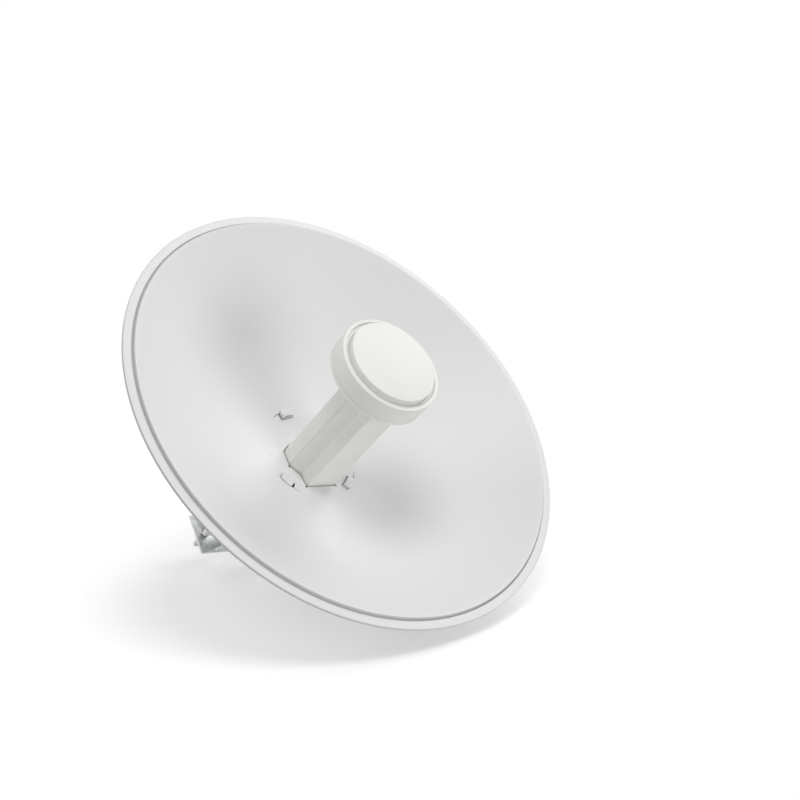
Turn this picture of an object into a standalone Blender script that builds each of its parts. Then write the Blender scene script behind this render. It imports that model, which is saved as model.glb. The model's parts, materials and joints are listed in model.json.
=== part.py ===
"""Outdoor wireless bridge: a dish reflector with a plugged-in feed, on a tilting pole bracket.

The dish looks along -Y, +Z is up, and the pole's axis is the Z axis. Every size is in metres.
Run with: blender --background --python part.py
"""

import math

import bmesh
import bpy
from mathutils import Vector

# ---- Driving dimensions -------------------------------------------------------------------------

GAP = 0.0003  # between two pieces that touch
HOLE_CLEARANCE = 0.0004  # round a shank in its hole
OVERCUT = 0.0012  # how far a cutter runs past the wall it cuts
CUT_FRONT = 0.0200  # a cutter through the dish starts this far in front of its centre
CUT_BACK = -0.0100  # and ends here

# Dish: a pressed sheet paraboloid with a step, a flange and a lip. Heights run forward from its centre.
DISH_DIAMETER = 0.420
BOWL_DEPTH = 0.0830
SHEET = 0.0010
RIM_WIDTH = 0.0095  # edge of the bowl to the outside of the lip
STEP_DROP = 0.0030  # edge of the bowl down to the flange round it
STEP_RUN = 0.0008
LIP_DROP = 0.0022
LIP_ROUND = 0.0010

# Head on the end of the feed
HEAD_RADIUS = 0.0464
HEAD_BASE_LIP = 0.0006  # how far the base stands out past the drum
HEAD_BOTTOM = 0.1220
HEAD_BASE_THICKNESS = 0.0045
HEAD_BASE_EDGE = 0.0010
HEAD_DRUM_HEIGHT = 0.0175
HEAD_DRUM_EDGE = 0.0014
HEAD_WALL = 0.0024
HEAD_ANNULUS = 0.0066  # outside of the drum to the front disc
HEAD_FLANGE = 0.0026
HEAD_DISC_RISE = 0.0045
HEAD_DISC_EDGE = 0.0012
HEAD_DISC_WALL = 0.0020
HEAD_DISC_FLANGE = (0.0030, 0.0016)  # reach, thickness
HEAD_GASKET = (0.0021, 0.0018)  # width, height
LINE_WINDOW = (-0.0090, -0.0030, 0.0090, 0.0050)  # opening in the base for the board's end

# What the head holds: a radiator disc, and a sub-reflector on a spacer ring
RADIATOR_RADIUS = 0.0200
RADIATOR_BORE = 0.0035
RADIATOR_THICKNESS = 0.0016
SUBREFLECTOR_MARGIN = 0.0038  # its edge to the outside of the front disc
SUBREFLECTOR_RIM = 0.0090
SUBREFLECTOR_SINK = 0.0018
SUBREFLECTOR_SHEET = 0.0010
SPACER_MARGIN = 0.0040
SPACER_WALL = 0.0030
SPACER_HEIGHT = 0.0104

# Feed tube section: half widths along X, heights along Z
TUBE_HALF = 0.0240
TUBE_TOP_HALF = 0.0170
TUBE_TOP_Z = 0.0110
TUBE_SHOULDER_Z = 0.0050
TUBE_CHAMFER_Z = -0.0100
KEEL_TOP_HALF = 0.0155
KEEL_TOP_Z = -0.0190
KEEL_HALF = 0.0150
KEEL_Z = -0.0320
TUBE_WALL = 0.0020
TUBE_SEAM_Z = -0.0030
TUBE_KEEL_END = -0.0050  # height of the rear end of the lower shell
TUBE_CLEARANCE = 0.0009
VENT_START = 0.0560
VENT_END = 0.0920
VENT_WIDTH = 0.0020
VENT_Z = -0.0062

# Snap latch on the tube's +X side. Reaches run out from the tube's side, heights from the dish
LATCH_WIDTH = 0.0140
LATCH_Z = -0.0030
LATCH_PIVOT_REACH = 0.0015
LATCH_PIVOT_HEIGHT = 0.0460
LATCH_CROWN = 0.0025
LATCH_HEEL = 0.0030
LATCH_ARM_HEIGHT = 0.0300
LATCH_RAMP_REACH = 0.0110
LATCH_RAMP_HEIGHT = 0.0240
LATCH_RAMP_GAP = 0.0016
LATCH_TAIL_REACH = 0.0046
LATCH_TAIL_THICKNESS = 0.0028
LATCH_TAIL_ROOM = 0.0006
LATCH_HOOK = 0.0020
LATCH_HOOK_GAP = 0.0004
LATCH_HOOK_HEIGHT = 0.0024
LATCH_BARB = 0.0005

# Hooks of the carrier plate, which come through slots in the dish
HOOK_ANGLES = (108.0, 222.0, 318.0)
HOOK_SLOT_SPAN = 28.0
HOOK_SLOT_MARGIN = 0.0106  # edge of the carrier plate to the slots
HOOK_SLOT_WIDTH = 0.0066
HOOK_SPAN = 16.0
HOOK_END_GAP = 1.0
HOOK_LIP = 0.0010
HOOK_STAND = 0.0014

# Carrier plate and rear housing
PLATE_FIT = 0.0005  # between the plate's edge and the housing's wall
PLATE_FRONT = -0.0035
PLATE_THICKNESS = 0.0025
PLATE_RIM_WIDTH = 0.0055
GASKET_THICKNESS = 0.0016
BOSS_RADIUS = 0.0045
BOSS_INSET = 0.0235
GUIDE_WIDTH = 0.0026
GUIDE_LOW = 0.0050
GUIDE_HIGH = 0.0105
HOUSING_RADIUS = 0.0600
HOUSING_WALL = 0.0025
HOUSING_REVEAL = 0.0008  # between the housing's edge and the dish's back
HOUSING_BACK = -0.0330
HOUSING_FILLET = 0.0080

# Cable door on the underside of the housing, and its grommet
DOOR_THICKNESS = 0.0022
DOOR_HALF_ANGLE = 20.5
DOOR_FRONT = -0.0035
DOOR_BACK_MARGIN = 0.0040  # back of the housing to the back of the door
DOOR_OPENING_HALF = 0.0150
DOOR_OPENING_DEPTH = 0.0150
RAIL_WIDTH_ANGLE = 1.6
RAIL_LIP_ANGLE = 2.2
RAIL_LIP = 0.0010
GROMMET_HALF = 0.0055
GROMMET_WALL = 0.0018
CABLE_HALF = 0.0034
INLET_HEIGHT = -0.0155

# Status window in the housing's back
WINDOW_WIDTH = 0.0200
WINDOW_HEIGHT = 0.0040
WINDOW_INSET = 0.0160

# Electronics in the feed
BOARD_THICKNESS = 0.0016
BOARD_TOP_Z = 0.0
BOARD_HEAD_GAP = 0.0030  # front end of the board to the head
BOARD_TAIL_GAP = 0.0015  # rear end of the board to the end of the tube's tail
SHIELD_HALF = 0.0140
SHIELD_TALL = 0.0050
SHIELD_WALL = 0.0006
SHIELD_HEAD_GAP = 0.0300
SHIELD_REAR = 0.0340
SPREADER_HEAD_GAP = 0.0100
SPREADER_REAR = 0.0220
SPREADER_PLATE = 0.0024
SPREADER_FIN = 0.0016
LINE_RADIUS = 0.0012
LINE_LAP = 0.0180  # how far the line lies behind the head, on the board
JACK_WIDTH = 0.0160
JACK_DEPTH = 0.0140
JACK_LENGTH = 0.0210
JACK_MOUTH = (0.0118, 0.0082, 0.0170)
TRANSFORMER_HALF = 0.0070
TRANSFORMER_TALL = 0.0060
TRANSFORMER_FRONT = 0.0140
TRANSFORMER_REAR = 0.0020
SWITCH_X = 0.0145
SWITCH_SIZE = 0.0060
SWITCH_TALL = 0.0035
SWITCH_WELL = 0.0022
BUTTON_RADIUS = 0.0015
BUTTON_STAND = 0.0030
BUTTON_TRAVEL = 0.0008

# Pole clamp and tilt bracket
POLE_RADIUS = 0.0240
PIVOT_REACH = 0.0220  # surface of the pole to the pivot bolt
PIVOT_Z = 0.0110
TILT_ARM = 0.0220  # pivot bolt to lock bolt
TILT_LIMIT = 20.0
BOLT_RADIUS = 0.0030
NUT_CORNER = 0.0028  # surface of the shank to the corners of a nut or a bolt's head
NUT_TALL = 0.0050
BOLT_HEAD_TALL = 0.0040
BOLT_END = 0.0030  # how far a shank stands out of its nut
WASHER_REACH = 0.0038  # surface of the shank to the outside of a washer
WASHER_TALL = 0.0012
BRACKET_SHEET = 0.0020
BRACKET_SET_BACK = 0.0040  # lock bolt's arm to the bracket's plate
BRACKET_EAR_ROOT = 0.0120  # how far the ears keep the plate's full height
BRACKET_EAR = 0.0194  # outer face of the dish bracket's ears
BRACKET_HALF_TALL = 0.0330
PIVOT_BOSS = 0.0100
LOCK_BOSS = 0.0080
CLAMP_SHEET = 0.0025
CLAMP_HALF_TALL = 0.0280
JAW_HALF_TALL = 0.0200
WEB_GAP = 0.0045  # surface of the pole to each clamp web
WING_TIP = 0.0139
WING_MARGIN = 0.0060  # surface of the pole to the outside of the wings
WING_ROOT = 0.0004  # how far the wings' slanted edges run into the web
TOOTH = 0.0010
TOOTH_COUNT = 6
CLAMP_BOLT_GAP = 0.0140  # surface of the pole to the clamp bolts' axes
CLAMP_BOLT_MARGIN = 0.0100
CLAMP_BOLT_SPARE = 0.0215  # near face of the jaw's web to the clamp bolts' ends
CLAMP_DOME = ((0.0, 0.0033), (0.0030, 0.0030), (0.0056, 0.0017), (0.0066, 0.0))  # radius, height
BRACKET_WINDOW_HALF = 0.0205  # half the window that the ears are bent out of
EAR_HALF_TALL = 0.0215
EAR_CROWN = 0.0095
EAR_SLOT_WALL = 0.0030
EAR_SLOT_MARGIN = 17.0

SCREW_RADIUS = 0.0015
SCREW_REACH = 0.0160  # how far the housing's screws run past its wall
SCREW_HEAD = 0.0034
SCREW_HEAD_TALL = 0.0022
BRACKET_SCREW_RADIUS = 0.0019
BRACKET_SCREW_HEAD = 0.0038
BRACKET_SCREW_PLACE = (0.0100, 0.0230)
BRACKET_SCREW_LENGTH = 0.0060

# ---- Sizes worked out from them -----------------------------------------------------------------

RIM_RADIUS = DISH_DIAMETER / 2
BOWL_RADIUS = RIM_RADIUS - RIM_WIDTH
FLANGE_HEIGHT = BOWL_DEPTH - STEP_DROP
FOUR_FOCAL = BOWL_RADIUS**2 / BOWL_DEPTH


def bowl(radius):
    """Height of the dish's front surface at a radius."""
    return radius**2 / FOUR_FOCAL


def bowl_back(radius):
    """Height of the dish's back surface at a radius, one sheet thickness behind the front."""
    slope = 2 * radius / FOUR_FOCAL
    return bowl(radius) - SHEET * math.sqrt(1 + slope**2)


HEAD_BASE_RADIUS = HEAD_RADIUS + HEAD_BASE_LIP
HEAD_DISC_RADIUS = HEAD_RADIUS - HEAD_ANNULUS
HEAD_SEAM = HEAD_BOTTOM + HEAD_BASE_THICKNESS
HEAD_RING_TOP = HEAD_SEAM + HEAD_DRUM_HEIGHT
HEAD_TOP = HEAD_RING_TOP + HEAD_DISC_RISE
HEAD_INSIDE = HEAD_SEAM + GAP / 2  # where what stands on the head's base starts
SUBREFLECTOR_RADIUS = HEAD_DISC_RADIUS - SUBREFLECTOR_MARGIN
SPACER_RADIUS = SUBREFLECTOR_RADIUS - SPACER_MARGIN
LATCH_PIVOT = (TUBE_HALF + LATCH_PIVOT_REACH, LATCH_PIVOT_HEIGHT)
LATCH_TAIL_INNER = TUBE_HALF + LATCH_TAIL_REACH
LATCH_TAIL_OUTER = LATCH_TAIL_INNER + LATCH_TAIL_THICKNESS
LATCH_HOLE_EDGE = LATCH_TAIL_OUTER + LATCH_TAIL_ROOM
LATCH_STAND_OFF = TUBE_HALF + LATCH_RAMP_REACH
PLATE_RADIUS = HOUSING_RADIUS - HOUSING_WALL - PLATE_FIT
PLATE_BACK = PLATE_FRONT - PLATE_THICKNESS
PLATE_RIM_TOP = bowl_back(PLATE_RADIUS - PLATE_RIM_WIDTH) - GASKET_THICKNESS
HOOK_SLOT_OUTER = PLATE_RADIUS - HOOK_SLOT_MARGIN
HOOK_SLOT_INNER = HOOK_SLOT_OUTER - HOOK_SLOT_WIDTH
BOSS_PLACE = PLATE_RADIUS - BOSS_INSET
HOUSING_FRONT = bowl_back(HOUSING_RADIUS - HOUSING_WALL) - HOUSING_REVEAL
HOUSING_INNER_BACK = HOUSING_BACK + HOUSING_WALL
DOOR_INNER = HOUSING_RADIUS + GAP
DOOR_OUTER = DOOR_INNER + DOOR_THICKNESS
DOOR_BACK = HOUSING_BACK + DOOR_BACK_MARGIN
WINDOW_Z = HOUSING_RADIUS - WINDOW_INSET
BOARD_HALF = TUBE_HALF - TUBE_WALL - HOLE_CLEARANCE
BOARD_BOTTOM_Z = BOARD_TOP_Z - BOARD_THICKNESS
BOARD_FRONT = HEAD_BOTTOM - BOARD_HEAD_GAP
BOARD_REAR = INLET_HEIGHT - JACK_DEPTH / 2
TUBE_TAIL = BOARD_REAR - BOARD_TAIL_GAP
SWITCH_PLACE = (SWITCH_X, INLET_HEIGHT)
PIVOT_Y = -POLE_RADIUS - PIVOT_REACH
LOCK_Z = PIVOT_Z - TILT_ARM
BRACKET_PLATE_BACK = PIVOT_Y - TILT_ARM - BRACKET_SET_BACK
DISH_CENTRE_Y = BRACKET_PLATE_BACK - BRACKET_SHEET - GAP + HOUSING_BACK
EAR_INNER = BRACKET_EAR + 2 * HOLE_CLEARANCE  # inner face of the pole bracket's ears
EAR_OUTER = EAR_INNER + CLAMP_SHEET
WEB_REACH = POLE_RADIUS + WEB_GAP
WING_APEX = POLE_RADIUS * math.sqrt(2)  # where the slanted edges of two wings would meet
WING_INNER = WING_APEX - WEB_REACH - WING_ROOT
WING_OUTER = POLE_RADIUS + WING_MARGIN
CLAMP_BOLT_X = POLE_RADIUS + CLAMP_BOLT_GAP
CLAMP_HALF_WIDE = CLAMP_BOLT_X + CLAMP_BOLT_MARGIN
CLAMP_BOLT_END = WEB_REACH + CLAMP_BOLT_SPARE
BOLT_HOLE = BOLT_RADIUS + HOLE_CLEARANCE
NUT_ACROSS_RADIUS = BOLT_RADIUS + NUT_CORNER
WASHER_RADIUS = BOLT_RADIUS + WASHER_REACH


def along(height):
    """World Y of what lies this far in front of the dish's centre."""
    return DISH_CENTRE_Y - height


# ---- Outlines -----------------------------------------------------------------------------------


def polar(radius, degrees, centre=(0.0, 0.0)):
    angle = math.radians(degrees)
    return (centre[0] + radius * math.cos(angle), centre[1] + radius * math.sin(angle))


def arc(radius, start, end, steps, centre=(0.0, 0.0)):
    """Points along an arc, both ends included, angles in degrees."""
    return [polar(radius, start + (end - start) * i / steps, centre) for i in range(steps + 1)]


def arc_band(inner, outer, start, end, steps=6):
    return arc(outer, start, end, steps) + arc(inner, end, start, steps)


def rectangle(low_x, low_y, high_x, high_y):
    return [(low_x, low_y), (high_x, low_y), (high_x, high_y), (low_x, high_y)]


def offset_outline(points, distance):
    """The same counter-clockwise outline with every side moved outwards."""
    count = len(points)
    moved = []
    for i in range(count):
        before = Vector(points[i - 1])
        here = Vector(points[i])
        after = Vector(points[(i + 1) % count])
        first = (here - before).normalized()
        second = (after - here).normalized()
        normal_a = Vector((first.y, -first.x))
        normal_b = Vector((second.y, -second.x))
        corner = (normal_a + normal_b) / (1 + normal_a.dot(normal_b))
        moved.append(tuple(here + corner * distance))
    return moved


def tube_outline(offset=0.0, seam=TUBE_SEAM_Z):
    """The tube section in X and Z, counter-clockwise from the keel, the seam on both sides."""
    right = [
        (KEEL_HALF, KEEL_Z),
        (KEEL_TOP_HALF, KEEL_TOP_Z),
        (TUBE_HALF, TUBE_CHAMFER_Z),
        (TUBE_HALF, seam),
        (TUBE_HALF, TUBE_SHOULDER_Z),
        (TUBE_TOP_HALF, TUBE_TOP_Z),
    ]
    left = [(-x, z) for x, z in reversed(right)]
    return offset_outline(right + left, offset)


# ---- Solids -------------------------------------------------------------------------------------


def finish(name, mesh, material=None, smooth_angle=None):
    """Makes an object of a bmesh, welded, facing outwards and shaded smooth up to an angle."""
    bmesh.ops.remove_doubles(mesh, verts=mesh.verts, dist=1e-6)
    bmesh.ops.recalc_face_normals(mesh, faces=mesh.faces)
    data = bpy.data.meshes.new(name)
    mesh.to_mesh(data)
    mesh.free()
    solid = bpy.data.objects.new(name, data)
    bpy.context.scene.collection.objects.link(solid)
    if material:
        data.materials.append(material)
    if smooth_angle:
        data.shade_smooth()
        data.set_sharp_from_angle(angle=math.radians(smooth_angle))
    return solid


def placed(axis, first, second, run):
    """A world point from two outline coordinates and a distance along the extrusion's axis."""
    if axis == "X":
        return (run, first, second)
    if axis == "Y":
        return (first, run, second)
    return (first, second, run)


def prism(name, outline, axis, start, end, material=None, smooth_angle=None):
    """An outline extruded along an axis. Its coordinates are Y,Z along X; X,Z along Y; X,Y along Z."""
    mesh = bmesh.new()
    corners = [mesh.verts.new(placed(axis, a, b, start)) for a, b in outline]
    face = mesh.faces.new(corners)
    grown = bmesh.ops.extrude_face_region(mesh, geom=[face])
    moved = [item for item in grown["geom"] if isinstance(item, bmesh.types.BMVert)]
    bmesh.ops.translate(mesh, verts=moved, vec=Vector(placed(axis, 0, 0, end - start)))
    return finish(name, mesh, material, smooth_angle)


def block(name, low, high, material=None):
    return prism(name, rectangle(low[0], low[2], high[0], high[2]), "Y", low[1], high[1], material)


def turned(name, profile, segments, material=None, smooth_angle=35, centre=(0.0, 0.0)):
    """A closed profile of (radius, height) turned about the dish's axis, or one parallel to it."""
    mesh = bmesh.new()
    points = [mesh.verts.new((radius, along(height), 0)) for radius, height in profile]
    edges = []
    for first, second in zip(points, points[1:] + points[:1]):
        if first.co.x > 0 or second.co.x > 0:
            edges.append(mesh.edges.new((first, second)))
    bmesh.ops.spin(
        mesh,
        geom=points + edges,
        cent=(0, 0, 0),
        axis=(0, 1, 0),
        angle=math.tau,
        steps=segments,
        use_merge=True,
    )
    bmesh.ops.translate(mesh, verts=mesh.verts, vec=(centre[0], 0, centre[1]))
    return finish(name, mesh, material, smooth_angle)


def rod(name, radius, axis, start, end, centre=(0.0, 0.0), segments=16, material=None):
    """A round rod along an axis through a point of the two other coordinates."""
    outline = [polar(radius, 360 * i / segments, centre) for i in range(segments)]
    return prism(name, outline, axis, start, end, material, 35)


def combine(solid, tool, operation):
    """Cuts or joins one solid with another, which is used up."""
    modifier = solid.modifiers.new(operation.lower(), "BOOLEAN")
    modifier.operation = operation
    modifier.solver = "EXACT"
    modifier.object = tool
    depsgraph = bpy.context.evaluated_depsgraph_get()
    result = bpy.data.meshes.new_from_object(solid.evaluated_get(depsgraph))
    solid.modifiers.clear()
    solid.data = result
    bpy.data.objects.remove(tool)
    return solid


def cut(solid, tool):
    return combine(solid, tool, "DIFFERENCE")


def join(solid, tool):
    return combine(solid, tool, "UNION")


def set_origin(solid, point):
    """Moves an object's origin without moving its shape."""
    shift = Vector(point) - solid.location
    for vertex in solid.data.vertices:
        vertex.co -= shift
    solid.location = point


# ---- Materials ----------------------------------------------------------------------------------


def material(name, colour, roughness, metallic=0.0, alpha=1.0):
    finish_of = bpy.data.materials.new(name)
    finish_of.use_nodes = True
    shader = finish_of.node_tree.nodes["Principled BSDF"]
    shader.inputs["Base Color"].default_value = (*colour, 1.0)
    shader.inputs["Roughness"].default_value = roughness
    shader.inputs["Metallic"].default_value = metallic
    shader.inputs["Alpha"].default_value = alpha
    return finish_of


def make_materials():
    return {
        "powder_coat": material("powder_coat", (0.80, 0.80, 0.79), 0.45),
        "feed_plastic": material("feed_plastic", (0.82, 0.81, 0.77), 0.42),
        "housing_plastic": material("housing_plastic", (0.78, 0.78, 0.77), 0.48),
        "rubber": material("rubber", (0.05, 0.05, 0.05), 0.8),
        "zinc_steel": material("zinc_steel", (0.62, 0.63, 0.64), 0.35, 1.0),
        "bolt_steel": material("bolt_steel", (0.55, 0.56, 0.57), 0.3, 1.0),
        "aluminium": material("aluminium", (0.75, 0.76, 0.77), 0.35, 1.0),
        "board_green": material("board_green", (0.03, 0.16, 0.08), 0.5),
        "tin_plate": material("tin_plate", (0.70, 0.70, 0.68), 0.3, 1.0),
        "black_plastic": material("black_plastic", (0.03, 0.03, 0.03), 0.5),
        "dielectric": material("dielectric", (0.85, 0.85, 0.82), 0.5),
        "copper": material("copper", (0.72, 0.45, 0.20), 0.3, 1.0),
        "window_plastic": material("window_plastic", (0.55, 0.57, 0.60), 0.15),
    }


# ---- Dish ---------------------------------------------------------------------------------------


def bowl_points(height_at, steps, radius):
    return [(radius * i / steps, height_at(radius * i / steps)) for i in range(steps + 1)]


def dish_profile(steps=11):
    """The dish's closed section: the bowl, the step down to the flange, the lip, then back behind."""
    foot = BOWL_RADIUS + STEP_RUN
    front = bowl_points(bowl, steps, BOWL_RADIUS)
    front += [
        (foot, FLANGE_HEIGHT),
        (RIM_RADIUS - LIP_ROUND, FLANGE_HEIGHT),
        (RIM_RADIUS, FLANGE_HEIGHT - LIP_ROUND),
        (RIM_RADIUS, FLANGE_HEIGHT - LIP_DROP),
    ]
    rear = [
        (RIM_RADIUS - SHEET, FLANGE_HEIGHT - LIP_DROP),
        (RIM_RADIUS - SHEET, FLANGE_HEIGHT - SHEET),
        (foot - SHEET, FLANGE_HEIGHT - SHEET),
    ]
    behind = bowl_points(bowl_back, steps, BOWL_RADIUS - SHEET)
    return front + rear + behind[::-1]


def feed_hole(name, clearance, front, back):
    """A cutter for the feed tube's passage, with a notch for the latch's tail."""
    passage = prism(name, tube_outline(clearance), "Y", along(front), along(back))
    half = LATCH_WIDTH / 2 + clearance
    notch = rectangle(TUBE_HALF - OVERCUT, LATCH_Z - half, LATCH_HOLE_EDGE, LATCH_Z + half)
    return join(passage, prism("latch_notch", notch, "Y", along(front + OVERCUT), along(back - OVERCUT)))


def make_dish(mats):
    dish = turned("dish_reflector", dish_profile(), 64, mats["powder_coat"])
    cut(dish, feed_hole("feed_passage", TUBE_CLEARANCE, CUT_FRONT, CUT_BACK))
    for angle in HOOK_ANGLES:
        half = HOOK_SLOT_SPAN / 2
        slot = arc_band(HOOK_SLOT_INNER, HOOK_SLOT_OUTER, angle - half, angle + half)
        cut(dish, prism("hook_slot", slot, "Y", along(CUT_FRONT), along(CUT_BACK)))
    return dish


def make_gasket(mats):
    """A ring between the dish's back and the carrier plate's rim, shaped to the dish."""
    inner = PLATE_RADIUS - PLATE_RIM_WIDTH + GAP
    outer = PLATE_RADIUS - GAP
    profile = [
        (inner, PLATE_RIM_TOP + GAP),
        (outer, PLATE_RIM_TOP + GAP),
        (outer, bowl_back(outer) - GAP),
        (inner, bowl_back(inner) - GAP),
    ]
    return turned("dish_gasket", profile, 40, mats["rubber"])


# ---- Carrier plate and housing ------------------------------------------------------------------


def hook_outline(angle, lip=0.0, inset=0.0):
    """A hook's outline at its end of the slot: its stem, or its lip, which reaches past the slot."""
    start = angle - HOOK_SLOT_SPAN / 2 + HOOK_END_GAP + inset
    end = start + HOOK_SPAN - 2 * inset
    inner = HOOK_SLOT_INNER + (2 + inset) * GAP
    outer = HOOK_SLOT_OUTER - 2 * GAP + lip
    return arc_band(inner, outer, start, end, 4)


def boss_places():
    return [(x, z) for x in (-BOSS_PLACE, BOSS_PLACE) for z in (-BOSS_PLACE, BOSS_PLACE)]


def make_carrier(mats):
    """The plate behind the dish that carries the hooks, the tube's guides and the screw bosses."""
    rim_inner = PLATE_RADIUS - PLATE_RIM_WIDTH
    profile = [
        (0.0, PLATE_FRONT),
        (rim_inner, PLATE_FRONT),
        (rim_inner, PLATE_RIM_TOP),
        (PLATE_RADIUS, PLATE_RIM_TOP),
        (PLATE_RADIUS, PLATE_BACK),
        (0.0, PLATE_BACK),
    ]
    plate = turned("carrier_plate", profile, 48, mats["housing_plastic"])
    overlap = PLATE_THICKNESS / 2
    lip_under = bowl(HOOK_SLOT_OUTER + HOOK_LIP) + GAP
    for angle in HOOK_ANGLES:
        top = lip_under + HOOK_STAND
        stem = hook_outline(angle)
        join(plate, prism("hook_stem", stem, "Y", along(top), along(PLATE_FRONT - overlap)))
        lip = hook_outline(angle, HOOK_LIP + 2 * GAP, 0.5)
        join(plate, prism("hook_lip", lip, "Y", along(top + GAP), along(lip_under)))
    for x, z in boss_places():
        centre = (x, z)
        rear = along(HOUSING_INNER_BACK + 2 * GAP)
        join(plate, rod("boss", BOSS_RADIUS, "Y", along(PLATE_BACK + overlap), rear, centre, 14))
        hole = SCREW_RADIUS + HOLE_CLEARANCE
        cut(plate, rod("boss_hole", hole, "Y", along(PLATE_BACK), rear + overlap, centre, 12))
    for side in (-1, 1):
        near = side * (TUBE_HALF + 2 * GAP)
        far = near + side * GUIDE_WIDTH
        guide = rectangle(min(near, far), GUIDE_LOW, max(near, far), GUIDE_HIGH)
        start = along(PLATE_BACK + overlap)
        join(plate, prism("guide", guide, "Y", start, along(TUBE_TAIL)))
    cut(plate, feed_hole("feed_passage", TUBE_CLEARANCE / 2, CUT_FRONT, PLATE_BACK - overlap))
    return plate


def rail_outline(side):
    """One of the door's two rails on the housing's underside, an L with its lip over the door."""
    foot = HOUSING_RADIUS - HOUSING_WALL / 2
    top = DOOR_OUTER + GAP + RAIL_LIP
    inner_angle = DOOR_HALF_ANGLE + 0.5
    outer_angle = inner_angle + RAIL_WIDTH_ANGLE
    lip_angle = DOOR_HALF_ANGLE - RAIL_LIP_ANGLE
    turn = [
        (foot, inner_angle),
        (foot, outer_angle),
        (top, outer_angle),
        (top, lip_angle),
        (DOOR_OUTER + GAP, lip_angle),
        (DOOR_OUTER + GAP, inner_angle),
    ]
    return [polar(radius, -90 + side * degrees) for radius, degrees in turn]


def make_housing(mats):
    fillet_centre = (HOUSING_RADIUS - HOUSING_FILLET, HOUSING_BACK + HOUSING_FILLET)
    inner = HOUSING_RADIUS - HOUSING_WALL
    outer_corner = arc(HOUSING_FILLET, 0, -90, 5, fillet_centre)
    inner_corner = arc(HOUSING_FILLET - HOUSING_WALL, -90, 0, 5, fillet_centre)
    profile = [(HOUSING_RADIUS, HOUSING_FRONT)] + outer_corner + [(0.0, HOUSING_BACK)]
    profile += [(0.0, HOUSING_INNER_BACK)] + inner_corner + [(inner, HOUSING_FRONT)]
    housing = turned("rear_housing", profile, 56, mats["housing_plastic"])
    for side in (-1, 1):
        rail = rail_outline(side)
        join(housing, prism("rail", rail, "Y", along(DOOR_FRONT), along(DOOR_BACK + HOUSING_WALL)))
    top = DOOR_OPENING_DEPTH - HOUSING_RADIUS
    opening = rectangle(-DOOR_OPENING_HALF, -HOUSING_RADIUS - OVERCUT, DOOR_OPENING_HALF, top)
    rear = HOUSING_BACK + HOUSING_FILLET
    cut(housing, prism("opening", opening, "Y", along(DOOR_FRONT - HOUSING_WALL), along(rear)))
    through = (along(HOUSING_INNER_BACK + OVERCUT), along(HOUSING_BACK - OVERCUT))
    for x, z in boss_places():
        hole = SCREW_RADIUS + HOLE_CLEARANCE
        cut(housing, rod("screw_hole", hole, "Y", *through, (x, z), 12))
    for x, z in bracket_screw_places():
        hole = BRACKET_SCREW_RADIUS + HOLE_CLEARANCE
        cut(housing, rod("screw_hole", hole, "Y", *through, (x, z), 12))
    half = WINDOW_WIDTH / 2
    window = rectangle(-half, WINDOW_Z - WINDOW_HEIGHT / 2, half, WINDOW_Z + WINDOW_HEIGHT / 2)
    cut(housing, prism("window_hole", window, "Y", *through))
    return housing


def make_window(mats):
    half = WINDOW_WIDTH / 2 - GAP
    tall = WINDOW_HEIGHT / 2 - GAP
    outline = rectangle(-half, WINDOW_Z - tall, half, WINDOW_Z + tall)
    ends = (along(HOUSING_INNER_BACK), along(HOUSING_BACK - GAP))
    return prism("status_window", outline, "Y", *ends, mats["window_plastic"])


def notch_outline(half, back):
    """A U-shaped notch open to the front, in X and Y, with a round rear end."""
    centre = (0.0, along(back))
    return [(half, along(DOOR_FRONT) - OVERCUT)] + arc(half, 0, 180, 8, centre) + [
        (-half, along(DOOR_FRONT) - OVERCUT)
    ]


def make_door(mats):
    """The curved cable door, which slides back between its rails, with a notch for the cable."""
    start = -90 - DOOR_HALF_ANGLE
    end = -90 + DOOR_HALF_ANGLE
    band = arc_band(DOOR_INNER, DOOR_OUTER, start, end, 10)
    ends = (along(DOOR_FRONT), along(DOOR_BACK))
    door = prism("cable_door", band, "Y", *ends, mats["housing_plastic"], 35)
    notch = notch_outline(GROMMET_HALF, INLET_HEIGHT)
    cut(door, prism("notch", notch, "Z", -DOOR_OUTER - OVERCUT, -DOOR_INNER + 3 * OVERCUT))
    return door


def make_grommet(mats):
    """A rubber U lining the door's notch, with the cable's slot in it."""
    outer = notch_outline(GROMMET_HALF - GAP, INLET_HEIGHT)
    inner = notch_outline(CABLE_HALF, INLET_HEIGHT)
    front = along(DOOR_FRONT)
    outer[0] = (outer[0][0], front)
    outer[-1] = (outer[-1][0], front)
    inner[0] = (inner[0][0], front)
    inner[-1] = (inner[-1][0], front)
    low = -DOOR_OUTER - GROMMET_WALL / 3
    outline = outer + inner[::-1]
    return prism("cable_grommet", outline, "Z", low, -DOOR_INNER, mats["rubber"], 35)


# ---- Feed tube ----------------------------------------------------------------------------------


def make_upper_shell(mats):
    seam = TUBE_SEAM_Z + GAP / 2
    outer = tube_outline(0.0, seam)[3:9]
    inner = tube_outline(-TUBE_WALL, seam)[3:9]
    ends = (along(HEAD_BOTTOM - GAP), along(TUBE_TAIL))
    outline = outer + inner[::-1]
    return prism("feed_tube_upper_shell", outline, "Y", *ends, mats["feed_plastic"], 20)


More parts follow.
